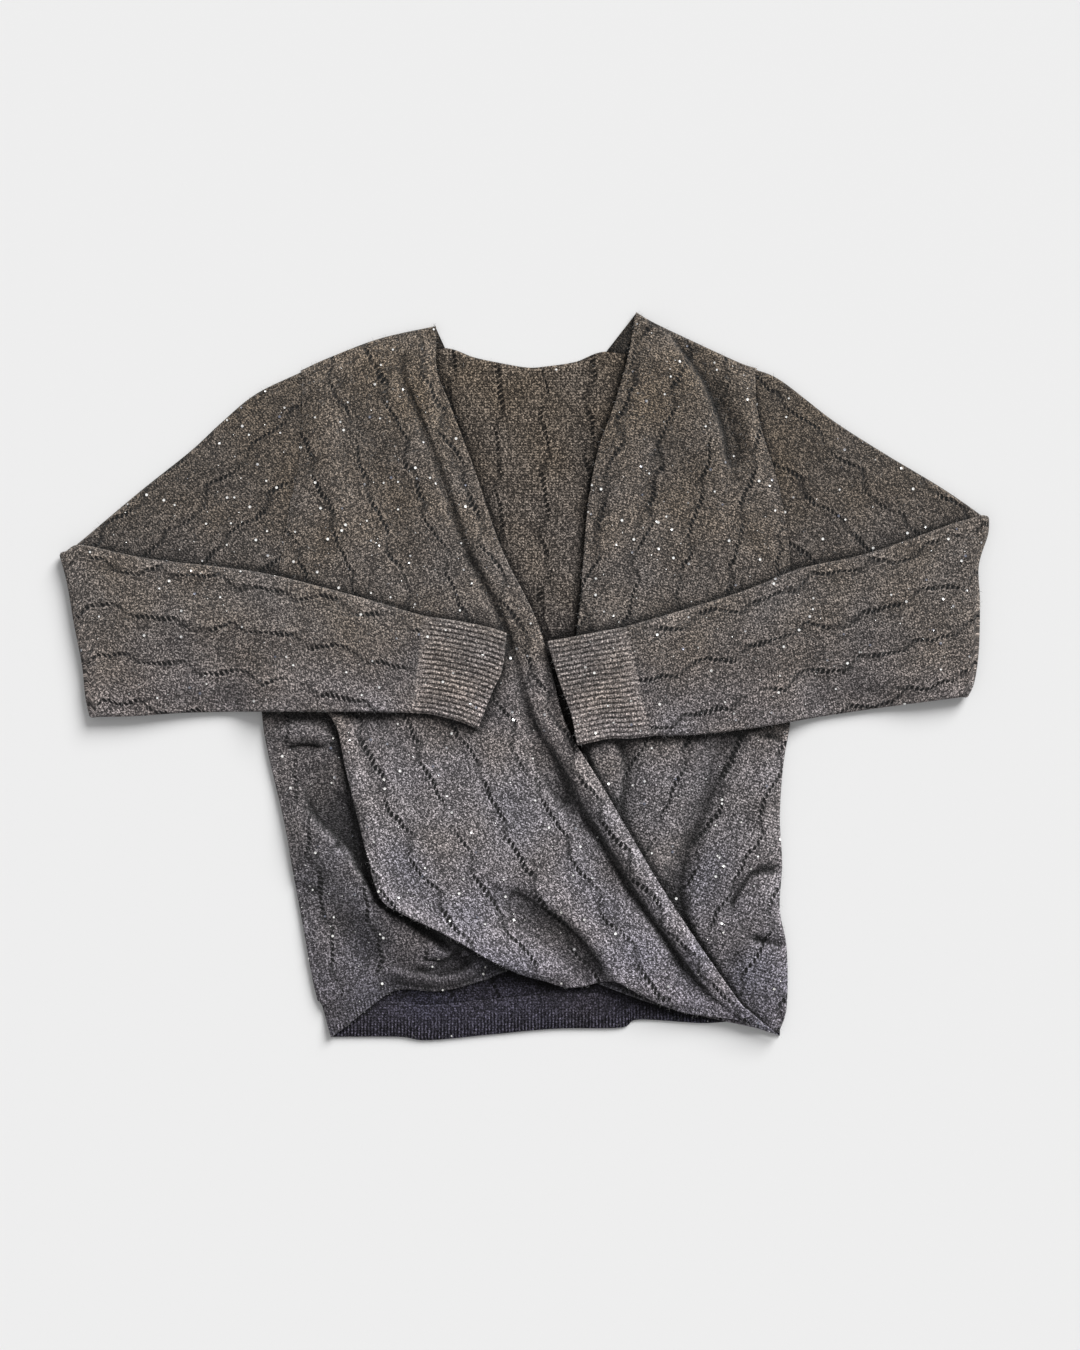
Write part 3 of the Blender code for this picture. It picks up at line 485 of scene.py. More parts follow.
def grain(xy, table):
    """Distance of every point from a grain line, and the place along it: in a frame turned to the
    line's two ends, a cubic through the line is taken off the cross distance, and both numbers are
    corrected for the cubic's slope so that their directions stay square."""
    path = curve(table, np.linspace(0, 1, 41))
    ahead = (path[-1] - path[0]) / np.linalg.norm(path[-1] - path[0])
    aside = np.array([-ahead[1], ahead[0]])
    cubic = np.polyfit(path @ ahead, path @ aside, 3)
    along = xy @ ahead
    slope = np.polyval(np.polyder(cubic), along)
    across = (xy @ aside - np.polyval(cubic, along)) / np.sqrt(1 + slope ** 2)
    place = np.stack([across, along + across.clip(-60, 60) * slope / np.sqrt(1 + slope ** 2)], axis=-1)
    return place * [np.sign(across.mean()), 1.0]


def normals(grid):
    """Unit normals of a grid: the cross product of its two directions."""
    return unit(np.cross(np.gradient(grid, axis=0), np.gradient(grid, axis=1)))


def cell_crosses(grid):
    """Twice the area of each cell of a grid, the cross product of its diagonals."""
    return np.linalg.norm(np.cross(grid[1:, 1:] - grid[:-1, :-1], grid[1:, :-1] - grid[:-1, 1:]), axis=-1)


def skin_area(grid):
    """Area of a grid in square metres."""
    return 0.5 * cell_crosses(grid).sum() * MM * MM


def shell_faces(rows, columns, around):
    """Corner numbers of a closed wall between two grids: both skins, the two end strips and,
    where the wall isn't closed around, the two side strips."""
    number = np.arange(rows * columns).reshape(rows, columns)
    nearby = np.roll(number, -1, axis=1) if around else number[:, 1:]
    own = number if around else number[:, :-1]
    half = rows * columns
    a, b, c, d = own[:-1], own[1:], nearby[1:], nearby[:-1]
    skins = [np.stack([a, b, c, d], -1).reshape(-1, 4), np.stack([a, d, c, b], -1).reshape(-1, 4) + half]
    strips = [(own[0], nearby[0], 1), (own[-1], nearby[-1], -1)]
    if not around:
        strips += [(number[:-1, 0], number[1:, 0], -1), (number[:-1, -1], number[1:, -1], 1)]
    for first, second, turn in strips:
        skins.append(np.stack([first, second, second + half, first + half], -1)[:, ::turn])
    return np.concatenate(skins)


def add_mesh(name, points, faces, material):
    """Mesh of plan points, moved to the record's origin and joined to the garment."""
    mesh = bpy.data.meshes.new(name)
    mesh.from_pydata(((points - CENTRE) * MM).tolist(), [], faces.tolist())
    mesh.materials.append(material)
    mesh.update()
    piece = bpy.data.objects.new(name, mesh)
    bpy.context.scene.collection.objects.link(piece)
    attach(piece, "root")
    return piece


def make_shell(name, outer, inner, cloth_place, around, material, shade=-1.0, inside=INSIDE_SHADE):
    """Closed wall between two grids, with the cloth's own coordinates in metres as its UV map. Its
    attribute of painted shade says how much the yarn's colour is darkened, at least shade outside and inside
    on the inner skin."""
    rows, columns = outer.shape[:2]
    points = np.vstack([outer.reshape(-1, 3), inner.reshape(-1, 3)])
    faces = shell_faces(rows, columns, around)
    a, b, c, d = (points[faces[:, k]] for k in range(4))
    if np.einsum("ij,ij->", a, np.cross(b, c)) + np.einsum("ij,ij->", a, np.cross(c, d)) < 0:
        faces = faces[:, ::-1]
    piece = add_mesh(name, points, faces, material)
    corners = (np.concatenate([cloth_place.reshape(-1, 2)] * 2) * MM)[faces]
    if around:
        girth = (cloth_place[:, -1, 0] - cloth_place[:, 0, 0]).mean() * MM
        wraps = corners[..., 0].max(axis=1) - corners[..., 0].min(axis=1) > 0.5 * girth
        low = corners[..., 0] < corners[..., 0].mean(axis=1, keepdims=True)
        corners[..., 0] += np.where(wraps[:, None] & low, girth * (1 + 1.0 / columns), 0.0)
    piece.data.uv_layers.new(name="cloth").data.foreach_set("uv", corners.reshape(-1))
    piece.data.polygons.foreach_set("use_smooth", np.ones(len(faces), bool))
    # Painted shade: an attribute per point that darkens the yarn's colour
    piece.data.attributes.new("hollows", "FLOAT", "POINT")
    shades = np.stack([np.broadcast_to(shade, (rows, columns)), np.full((rows, columns), inside)])
    LAID["shells"].append((piece.data, outer, shades))
    return piece


def present(nodes):
    """Hides the imported parts of the nodes that a piece stands for."""
    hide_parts(*nodes)


def lay_down(outer, closed=False, fringe=slice(None)):
    """Adds a skin to the pile, and those of its rows that carry sequins and fibres to the skins."""
    LAID["pile"].add(closed_ring(outer) if closed else outer)
    LAID["skins"].append((outer[fringe], normals(outer)[fringe]))


def rib_rows(first, last, steps, hem, ribs, u):
    """A ribbed band between two lines: the share of the way down of each row, its distance from
    the free edge, its plan points, and the phase of the ribs across it."""
    f = close_ends(steps, hem, first=False)
    return f, (1 - f) * hem, first + f[:, None, None] * (last - first), u * ribs * 2 * np.pi


def groove_shade(phase):
    """Painted shade across a rib: the square of a cosine that peaks in the groove."""
    return 0.62 * (0.5 - 0.5 * np.cos(phase)) ** 2 - 0.05


def shoulder_turn(edge, seam, turns=9, runs=9):
    """Cloth that turns over the shoulder: half circles about a line one radius inside the edge,
    then straight back along the floor to the shoulder seam."""
    tangent = np.gradient(edge, axis=0)
    normal = unit(np.stack([-tangent[:, 1], tangent[:, 0]], axis=-1))
    centre = edge - FOLD_RADIUS * normal
    share = np.linspace(1.0, 0.0, runs, endpoint=False)[:, None, None]
    back = centre + share * (seam - centre)
    angle = np.radians(np.linspace(-90, 90, turns))[:, None]
    skins = []
    for radius, level in ((FOLD_RADIUS, 0.0), (FOLD_RADIUS - WALL, WALL)):
        turn = with_height(centre + (radius * np.cos(angle))[..., None] * normal,
                           FOLD_RADIUS + radius * np.sin(angle) * np.ones(len(edge)))
        skins.append(np.concatenate([with_height(back, level), turn]))
    return skins[0], skins[1], centre


def lay_front(name, front, upper, nodes, rows, columns, roll, seed, material):
    """One front laid on the pile: a patch between its four edges, raised by its folds and an
    unevenness that both fade out at its edges, and turned over the shoulder to its seam. The upper
    front has its neck edge on its right, with a band, and a rolled free edge on its left."""
    pile = LAID["pile"]
    v = close_ends(rows, FRONT_LENGTH, first=False)
    u = close_ends(columns, 230.0)
    xy = patch(front.top, front.bottom, front.left, front.right, u[None, :], v[:, None])
    fold_outer, fold_inner, centre = shoulder_turn(xy[0], curve(front.seam, u))
    down = v * FRONT_LENGTH
    xy = xy + (centre - xy[0])[None] * np.exp(-(down / 40.0) ** 2)[:, None, None]
    from_left = run_length(xy, 1)
    from_right = from_left[:, -1:] - from_left
    neck, far = (from_right, from_left) if upper else (from_left, from_right)
    body = 3.4 + 3.6 * eased((down - 350.0) / 90.0)[:, None]
    lift = body + folds_at(xy, front.folds)
    lift = lift + 0.8 * ripple(xy, 55.0, seed) + 0.4 * ripple(xy, 21.0, seed + 1)
    fade = eased(down / 40.0)[:, None]
    if upper:
        band = 4.0 * np.sin(np.pi * np.clip(neck / 27.0, 0, 1)) ** 0.6
        band = band - 2.8 * np.exp(-((neck - 31.0) / 5.5) ** 2)
    else:
        band = 7.0 * eased(neck / 32.0) * (1 - 0.75 * eased((neck - 36.0) / 45.0))
    lift = settled(lift + band * fade)
    if not upper:
        lift *= from_low(0.08, eased((grain(xy, NECK_OVER)[..., 0] + 22.0) / 26.0))
    hem = np.clip((FRONT_LENGTH - down) / 16.0, 0, 1)[:, None] ** 0.5
    taper = (np.minimum(from_left, from_right) / 14.0).clip(0, 1) ** 0.5
    taper *= from_low(0.15, eased(np.linalg.norm(xy - HEM_OVER[-1], axis=-1) / 120.0))
    stand = np.where(neck < 14.0, np.minimum(lift, 4.0 if upper else 5.0) * fade, 0.0)
    low = pile.cushion(xy, 5, 3.6) + np.maximum(lift * taper, stand) * hem
    free = np.clip((down - 300.0) / 60.0, 0, 1)[:, None]
    low += roll * free * hem * rounded(from_left, 9.0) * np.exp(-(from_left / 30.0) ** 2)
    level = 2 * FOLD_RADIUS - WALL
    weight = np.exp(-(down / 30.0) ** 2)[:, None]
    low = np.maximum(low, level * weight + low * (1 - weight))
    low[0] = level
    far_gap = np.where(down[:, None] > 250, far, 99.0)
    high = low + thickness(xy, low, np.minimum(np.minimum(neck, (FRONT_LENGTH - down)[:, None]), far_gap))
    high[0] = level + WALL
    outer = np.concatenate([fold_outer, with_height(xy, high)[1:]])
    inner = np.concatenate([fold_inner, with_height(xy, low)[1:]])
    place = grain(xy, front.grain)
    over = run_length(fold_outer, 0)
    turned = np.repeat(place[:1], len(over), axis=0)
    turned[..., 1] -= over[-1:] - over
    # Painted shade: the inside of the cloth turned over the shoulder and the valleys of the folds are
    # darkened, with LIT as painted light elsewhere
    over_shade = INSIDE_SHADE * np.linspace(2.0, -1.0, len(over)).clip(0, 1)
    shade = np.concatenate([np.repeat(over_shade[:, None], xy.shape[1], axis=1),
                            valley_shade(xy, front.folds)[1:]])
    piece = make_shell(name, outer, inner, np.concatenate([turned, place[1:]]), False, material, shade)
    present(nodes)
    lay_down(outer)


def cross_sections(start, end, top, low, places, depth, flat):
    """Plan points of a flattened tube's cross sections, inset by half the depth at both rims."""
    width = np.linalg.norm(curve(top, places) - curve(low, places), axis=-1)[:, None]
    margin = depth / 2 / width
    w = margin + (1 - 2 * margin) * np.linspace(0, 1, flat)[None, :]
    return patch(start, end, top, low, w, places[:, None])


def crown(flat):
    """Share that is 1 over the middle of a flattened tube and falls to 0 at its rims."""
    return 1 - np.abs(np.linspace(-1, 1, flat)) ** 4


def ring_of(centre, up, rim):
    """Flattened tube as bases and directions: half circles of the depth at both rims, and between
    them the wall under the middle line and the wall over it. It starts and ends at the far rim's
    middle. Also gives the column of the near rim's middle and the first columns of both walls."""
    across = unit(centre[:, -1] - centre[:, 0])[:, None]
    angle = np.linspace(0, np.pi, rim + 2)[1:-1][None, :, None]
    far = np.cos(angle) * up[:, None] + np.sin(angle) * across
    flat = centre.shape[1]
    ups = np.repeat(up[:, None], flat, axis=1)
    base = np.concatenate([np.repeat(centre[:, -1:], rim, axis=1), centre[:, ::-1],
                           np.repeat(centre[:, :1], rim, axis=1), centre], axis=1)
    way = np.concatenate([far, -ups, -far, ups], axis=1)
    near_middle, first_low = rim + flat, rim - rim // 2
    base, way = (np.roll(grid, -(rim // 2), axis=1) for grid in (base, way))
    return base, way, near_middle, first_low, near_middle + first_low


def tube_shell(name, base, way, near_middle, depth, relief, lift, parts, material, shade):
    """Wall of a flattened tube: its outer skin stands half the depth off the middle line, plus the
    relief, and its inner skin is one wall nearer. Across the cloth, only the part of each step that
    is square to the axis counts, from the near rim; along it, the axis is followed, plus each
    point's lead over its cross section's middle. parts are the rows of each straight part and the
    direction of its columns of stitches, or None where they follow the near rim."""
    half = depth[:, None, None] / 2
    outer = base + way * (half + np.asarray(relief)[..., None])
    inner = base + way * (half - WALL)
    outer[..., 2] += lift
    inner[..., 2] += lift
    middle = base.mean(axis=1)
    lead = np.full(base.shape[:2], np.nan)
    axis = np.zeros((len(base), 3))
    shift = np.zeros(len(base))
    for first, last, columns in parts:
        ahead = middle[last - 1] - middle[first] if columns is None else np.array(columns + (0.0,))
        axis[first:last] = ahead / np.linalg.norm(ahead)
        if columns is not None:
            rim = base[first:last, near_middle]
            aside = np.array([-axis[first][1], axis[first][0], 0.0])
            aside *= np.sign((middle[first] - rim[0]) @ aside)
            shift[first:last] = (rim - rim[-1]) @ aside
        off_middle = base[first:last] - middle[first:last, None]
        lead[first:last] = np.einsum("ijk,ik->ij", off_middle, axis[first:last])
    blank = np.flatnonzero(np.isnan(lead[:, 0]))
    if len(blank):
        start, end = blank[0] - 1, blank[-1] + 1
        share = np.linspace(0, 1, end - start + 1)[:, None]
        lead[start:end + 1] = (1 - share) * lead[start] + share * lead[end]
    step = np.diff(base + way * half, axis=1)
    square = np.sqrt(np.maximum((step ** 2).sum(-1) - np.einsum("ijk,ik->ij", step, axis) ** 2, 0))
    girth = np.concatenate([np.zeros((len(base), 1)), np.cumsum(square, axis=1)], axis=1)
    girth += shift[:, None] - girth[:, near_middle:near_middle + 1]
    place = np.stack([girth, run_length(middle)[:, None] + lead], -1)
    return make_shell(name, outer, inner, place, True, material, shade), outer


def lay_sleeve(name, tube, node, seed, material):
    """Sleeve: a flattened tube out to the elbow, half a turn about the elbow's fold line, and back
    over the chest on the pile. Gives back the pile that the forearm lies on."""
    pile = LAID["pile"]
    flat, rim = 62, 9
    side = np.sign(tube.elbow[0][0])
    chord = np.array(tube.elbow[-1], float) - np.array(tube.elbow[0], float)
    outward = np.array([-chord[1], chord[0]])
    outward *= side * np.sign(outward[0]) / np.linalg.norm(outward)
    turn = SLEEVE_DEPTH / 2 + ELBOW_CLEARANCE / 2
    elbow = [tuple(np.array(p) - (turn + SLEEVE_DEPTH / 2) * outward) for p in tube.elbow]
    armhole = [(x - side * 1.2, y) for x, y in tube.armhole]
    arm_top = [armhole[0]] + tube.top[1:-1] + [elbow[0]]
    arm_under = [armhole[-1]] + tube.under[1:-1] + [elbow[-1]]
    fore_top = [elbow[0]] + [p for p in tube.fore_top[1:] if abs(p[0]) < abs(elbow[0][0]) - 3]
    fore_low = [elbow[-1]] + tube.fore_low[1:]
    s, f = np.linspace(0, 1, 56), np.linspace(0, 1, 110)
    arm = cross_sections(armhole, elbow, arm_top, arm_under, s, SLEEVE_DEPTH, flat)
    fore = cross_sections(elbow, tube.seam, fore_top, fore_low, f, SLEEVE_DEPTH, flat)
    depth = np.concatenate([ARMHOLE_DEPTH + (SLEEVE_DEPTH - ARMHOLE_DEPTH) * np.clip(s * 4, 0, 1),
                            np.full(7 + len(f), SLEEVE_DEPTH)])
    turns = np.radians(np.linspace(0, 180, 9)[1:-1])
    elbow_rows = arm[-1] + turn * np.sin(turns)[:, None, None] * outward
    elbow_z = SLEEVE_DEPTH / 2 + turn * (1 - np.cos(turns))
    arm_lift = np.maximum(0, 2.6 + folds_at(arm, tube.arm_folds) + 0.5 * ripple(arm, 50, seed))
    arm_lift *= crown(flat) * np.minimum(1, np.minimum(s * 3, (1 - s) * 3))[:, None]
    arm_depth = depth[:len(s), None]
    pile.add(with_height(arm, arm_depth + arm_lift))
    start_low = 2 * turn
    weight = np.exp(-(run_length(fore, 0) / 45.0) ** 2)
    beneath = Pile(pile.height.copy())
    low = pile.cushion(fore, 9, 6.0)
    low = np.maximum(low, start_low * weight + low * (1 - weight))
    low[0] = start_low
    fore_lift = np.maximum(0, 2.4 + folds_at(fore, tube.fore_folds) + 0.5 * ripple(fore, 48, seed + 5)
                           + 0.22 * ripple(fore, 17, seed + 6))
    fore_lift *= crown(flat) * np.minimum(1, np.minimum(f * 6, (1 - f) * 8))[:, None]
    centre = np.concatenate([with_height(arm, arm_depth / 2), with_height(elbow_rows, elbow_z[:, None]),
                             with_height(fore, low + SLEEVE_DEPTH / 2)])
    lean = np.concatenate([np.zeros(len(s)), turns, np.full(len(f), np.pi)])[:, None]
    up = np.cos(lean) * np.array([0, 0, 1.0]) - np.sin(lean) * np.append(outward, 0.0)
    base, way, near_middle, first_low, first_up = ring_of(centre, up, rim)
    lift = np.zeros(base.shape[:2])
    lift[:len(s), first_up:first_up + flat] = arm_lift
    lift[-len(f):, first_low:first_low + flat] = fore_lift[:, ::-1]
    # A fixed darkening on the upper arms, and twice the valleys' painted shade on the forearm's upper wall
    shade = np.full(base.shape[:2], -1.0)
    shade[:len(s)] = UPPER_ARM_SHADE
    shade[-len(f):, first_low:first_low + flat] = 2.0 * valley_shade(fore, tube.fore_folds)[:, ::-1]
    parts = [(0, len(s), (side * 0.71, -0.70)), (len(centre) - len(f), len(centre), None)]
    piece, outer = tube_shell(name, base, way, near_middle, depth, 0.0, lift, parts, material, shade)
    present([node])
    lay_down(outer, closed=True)
    return beneath


def lay_cuff(name, end, node, side, beneath, material):
    """Ribbed cuff: a flattened tube whose skin rises and falls as a cosine around its girth. It
    lies on the pile beneath the sleeve, so that it goes on at the sleeve's own height."""
    sizes = bpy.context.scene.jumper_sizes
    flat, rim = 190, 11
    f = close_ends(44, CUFF_LENGTH, first=False)
    from_end = (1 - f) * CUFF_LENGTH
    seam = [(x + side * 1.5, y) for x, y in end.seam]
    top, low_edge = [seam[0]] + end.top[1:], [seam[-1]] + end.low[1:]
    xy = cross_sections(seam, end.end, top, low_edge, f, CUFF_DEPTH, flat)
    low = beneath.cushion(xy, 9, 6.0)
    low[0] = low[1]
    centre = with_height(xy, low + CUFF_DEPTH / 2 + 0.1)
    base, way, near_middle, first_low, first_up = ring_of(centre, np.tile((0.0, 0.0, -1.0), (len(f), 1)), rim)
    girth = run_length(base + way * CUFF_DEPTH / 2, 1)
    ribs = np.round(girth[:, -1].mean() / (sizes.rib_pitch / MM))
    phase = girth / girth[:, -1:] * ribs * 2 * np.pi
    end_round = from_low(0.35, rounded(from_end))[:, None]
    relief = (sizes.rib_rise / MM) * (0.5 * np.cos(phase) - 0.15 * np.cos(2 * phase)) * end_round
    relief = relief * from_low(0.25, eased(f * CUFF_LENGTH / 9.0))[:, None] - (1 - end_round)
    lift = np.zeros(base.shape[:2])
    lift[:, first_low:first_low + flat] = (0.8 * crown(flat) * np.sin(np.pi * f)[:, None] ** 0.5)[:, ::-1]
    # Painted shade in the grooves between the ribs, fading in over 12 mm from the sleeve
    shade = groove_shade(phase) * eased(f * CUFF_LENGTH / 12.0)[:, None]
    piece, outer = tube_shell(name, base, way, near_middle, np.full(len(f), CUFF_DEPTH), relief, lift,
                              [(0, len(f), None)], material, shade)
    present([node])
    lay_down(outer, closed=True)


def operator(kind, swapped=False):
    """A method that adds one Math node, with its values in turn or swapped."""
    def apply(self, *others):
        return self.maths(kind, *(others + (self,) if swapped else (self,) + others))
    return apply


class Socket:
    """A shader socket in a Python expression: each operator on it adds its Math node."""
    __add__ = __radd__ = operator("ADD")
    __sub__ = operator("SUBTRACT")
    __rsub__ = operator("SUBTRACT", swapped=True)
    __mul__ = __rmul__ = operator("MULTIPLY")
    __truediv__ = operator("DIVIDE")
    __pow__ = operator("POWER")
    __abs__ = operator("ABSOLUTE")
    fract = operator("FRACT")
    whole = operator("FLOOR")
    sine = operator("SINE")
    least = operator("MINIMUM")

    def __init__(self, tree, socket):
        self.tree = tree
        self.socket = socket

    def maths(self, operation, *values):
        node = self.tree.nodes.new("ShaderNodeMath")
        node.operation = operation
        for slot, value in zip(node.inputs, values):
            if isinstance(value, Socket):
                self.tree.links.new(value.socket, slot)
            else:
                slot.default_value = value
        return Socket(self.tree, node.outputs[0])

    def clipped(self):
        """Held between 0 and 1."""
        return self.maths("MAXIMUM", self, 0.0).least(1.0)

    def triangle(self):
        """Wave of period 1 that runs from 1 down to 0 and back."""
        return abs((self.fract() - 0.5) * 2.0)

    def bump(self, half):
        """Parabola that is 1 at zero and falls to 0 at half on both sides."""
        return (1.0 - (self / half) ** 2.0).clipped()


def opaque(colour, scale=1.0):
    return tuple(scale * c for c in colour) + (1.0,)


class Finish:
    """One material and the nodes that make it."""

    def __init__(self, name, colour, roughness):
        self.material = bpy.data.materials.new(name)
        self.material.use_nodes = True
        self.material.diffuse_color = opaque(colour)
        self.tree = self.material.node_tree
        self.surface = self.tree.nodes["Principled BSDF"]
        self.set("Base Color", opaque(colour))
        self.set("Roughness", roughness)

    def set(self, socket, value):
        self.surface.inputs[socket].default_value = value

    def feed(self, socket, value):
        self.tree.links.new(value.socket, self.surface.inputs[socket])

    def node(self, kind, settings=None, output=0, **values):
        """Adds a node, sets it up, fills its sockets by name or as i with their number, and gives
        back one output."""
        node = self.tree.nodes.new(kind)
        for key, value in (settings or {}).items():
            setattr(node, key, value)
        for key, value in values.items():
            slot = node.inputs[int(key[1:])] if key[0] == "i" and key[1:].isdigit() else node.inputs[key]
            if isinstance(value, Socket):
                self.tree.links.new(value.socket, slot)
            else:
                slot.default_value = value
        return Socket(self.tree, node.outputs[output])

    def split(self, vector):
        """The three numbers of a vector."""
        node = self.tree.nodes.new("ShaderNodeSeparateXYZ")
        self.tree.links.new(vector.socket, node.inputs[0])
        return [Socket(self.tree, output) for output in node.outputs]

    def own_place(self):
        """Object coordinates."""
        return self.node("ShaderNodeTexCoord", None, 3)

    def ramp(self, value, stops):
        """Colour that runs through stops of place and colour."""
        result = self.node("ShaderNodeValToRGB", None, 0, Fac=value)
        elements = result.socket.node.color_ramp.elements
        for place, colour in stops[1:-1]:
            elements.new(place)
        for element, (place, colour) in zip(elements, stops):
            element.position = place
            element.color = opaque(colour)
        return result

    def noise(self, vector, scale, detail=2.0, roughness=0.55):
        return self.node("ShaderNodeTexNoise", None, 0, Vector=vector, Scale=scale, Detail=detail,
                         Roughness=roughness)

    def cells(self, x, y):
        """A random number for each whole place in the plane."""
        spot = self.node("ShaderNodeCombineXYZ", None, 0, X=x.whole(), Y=y.whole())
        return self.node("ShaderNodeTexWhiteNoise", {"noise_dimensions": "2D"}, 0, Vector=spot)

    def mix(self, share, first, second, blend="MIX"):
        return self.node("ShaderNodeMix", {"data_type": "RGBA", "blend_type": blend}, 2,
                         i0=share, i6=first, i7=second)


def eyelets(finish, place, u, v, lace, lace_first, mirrored):
    """Wavy lines of slanting slots between the columns: how deep each point lies in one, and how
    far it lies on the raised stitches beside a line. A wave slants slowly one way, where the slots
    are open, and quickly back, where only a thin groove is left."""
    sizes = bpy.context.scene.jumper_sizes
    drift = (finish.noise(place, 22.0, 2.0) - 0.5) * 0.022
    side = abs(u) if mirrored else u
    turn = ((v + side * 0.93) / sizes.lace_wave + drift * 34.0).fract()
    bend = ((turn / WAVE_SPLIT).least((1.0 - turn) / (1 - WAVE_SPLIT)) - 0.5) * 0.0075 + drift
    across = (((side + bend - lace_first) / sizes.lace_spacing + 0.5).fract() - 0.5) * sizes.lace_spacing
    along = ((v / EYELET_PITCH + drift * 60.0).fract() - 0.5) * EYELET_PITCH
    narrow = along * SLANT[0] - across * SLANT[1]
    broad = along * SLANT[1] + across * SLANT[0]
    inside = (narrow / EYELET_HALF[0]) ** 2.0 + (broad / EYELET_HALF[1]) ** 2.0
    slot = ((1.0 - inside) * 5.0).clipped()
    strong = ((0.66 - turn) * 14.0).clipped() * (turn * 14.0).clipped()
    worn = ((finish.noise(place, 40.0, 1.0) * 4.0 - 0.9).clipped() * 0.8 + 0.2) * lace
    groove = across.bump(0.0009) * 0.3
    hollow = (slot * (strong * 0.5 + 0.5) + groove * (1.0 - strong)) * worn
    return hollow, (abs(across) - 0.0034).bump(0.0014), strong


def knit(name, lace=1.0, lace_first=0.012, shade=1.0, low=1.0, cool=1.0, coarse=1.0, mirrored=False):
    """Heathered yarn knitted in columns of leaning loops, each loop in its own tone, with wavy
    lines of slanting eyelets as deep as lace. shade scales the colour all over; low scales it below the
    chest, as painted shade on the lower layers; cool is how much bluer it is there, and coarse is how
    much the yarn's grain varies. The colour carries painted light and shade: lighter on the crests of
    the loops and beside the eyelets, near black in the eyelets, brightest over the belly, and darkened
    by each point's painted shade."""
    sizes = bpy.context.scene.jumper_sizes
    colours = bpy.context.scene.jumper_colours
    finish = Finish(name, [0.25 * c for c in colours.pale_yarn], 0.95)
    place = finish.node("ShaderNodeUVMap", {"uv_map": "cloth"})
    u, v = finish.split(place)[:2]
    columns = u / sizes.stitch_width + (finish.noise(place, 240.0) - 0.5) * 1.3
    lean = abs(columns.fract() - 0.5)
    rows = v / sizes.stitch_height + lean * 1.3 + (finish.noise(place, 190.0) - 0.5) * 1.3
    loop = (rows * TAU).sine() * 0.5 + 0.5
    groove = 1.0 - (columns * 2.0).triangle() ** 2.5
    strand = finish.cells(columns * 2.0, rows)
    speck = finish.cells(u / SPECK, v / SPECK + columns * 0.37)
    grain_noise = finish.noise(place, 640.0, 1.0, 0.7)
    tufts = finish.noise(place, 420.0, 2.0, 0.7)
    cloud = finish.noise(place, 34.0, 3.0, 0.6)
    tone = (strand - 0.5) * 0.62 + (speck - 0.5) * 0.50 + (tufts - 0.5) * 0.4 + (grain_noise - 0.5) * 3.0
    # loop times groove lightens the crest of each loop and darkens the gaps: painted light and shade on the
    # stitch relief
    tone = tone * coarse + 0.345 + loop * groove * 0.17 + (cloud - 0.5) * 0.4
    height = loop * groove * 0.9 + tufts * 0.8 + grain_noise * 0.6 + strand * 0.2
    if lace:
        hollow, beside, strong = eyelets(finish, place, u, v, lace, lace_first, mirrored)
        # Painted light: the raised stitches beside a line of eyelets are made lighter
        tone = tone + beside * strong * 0.07
        height = height - hollow * 3.0 + beside * (strong * 0.45 + 0.1)
    dark, pale = opaque(colours.dark_yarn, shade), opaque(colours.pale_yarn, shade)
    yarn = finish.mix(tone.clipped() ** 2.0, dark, pale)
    # Painted shade: the eyelet slots are painted near black, for the shade inside the holes
    if lace:
        yarn = finish.mix(hollow.clipped(), yarn, (0.002, 0.0018, 0.002, 1.0))
    # Painted light by height in the garment: the colour is brightest over the belly and darker towards the
    # chest, and low darkens the stops below the chest as painted shade on the lower layers. The colour also
    # runs from warm at the top to bluer lower down, by cool
    body = (finish.split(finish.own_place())[1] / 0.64 + 0.5).clipped()
    painted_low_stops = [(stop, (r * low, g * low, b * low * cool)) for stop, (r, g, b) in (
        (0.02, (1.18, 1.11, 1.32)), (0.16, (1.50, 1.42, 1.58)), (0.31, (1.50, 1.41, 1.49)))]
    painted_light_tint = finish.ramp(body, painted_low_stops + [(0.47, (1.22, 1.09, 1.07)), (0.58, (1.03, 0.905, 0.82)),
                                     (0.86, (0.91, 0.755, 0.605))])
    patches = (finish.noise(place, 15.0, 1.0) * 2.0 - 0.5).clipped()
    patches = finish.mix(patches, (0.96, 0.99, 1.05, 1.0), (1.05, 1.0, 0.91, 1.0))
    yarn = finish.mix(1.0, yarn, finish.mix(1.0, painted_light_tint, patches, "MULTIPLY"), "MULTIPLY")
    # The base colour is darkened by each point's painted shade, and lightened where that is negative, as
    # painted light on ridges
    hollows = finish.node("ShaderNodeAttribute", {"attribute_name": "hollows"}, 2)
    finish.feed("Base Color", finish.node("ShaderNodeVectorMath", {"operation": "SCALE"}, 0,
                                          Vector=yarn, Scale=1.0 - hollows))
    finish.feed("Normal", finish.node("ShaderNodeBump", Strength=0.9, Distance=0.0014, Height=height))
    finish.set("Sheen Weight", 0.12 if low > 0.5 else 0.04)
    finish.set("Sheen Roughness", 0.6)
    finish.set("Specular IOR Level", 0.12)
    return finish.material


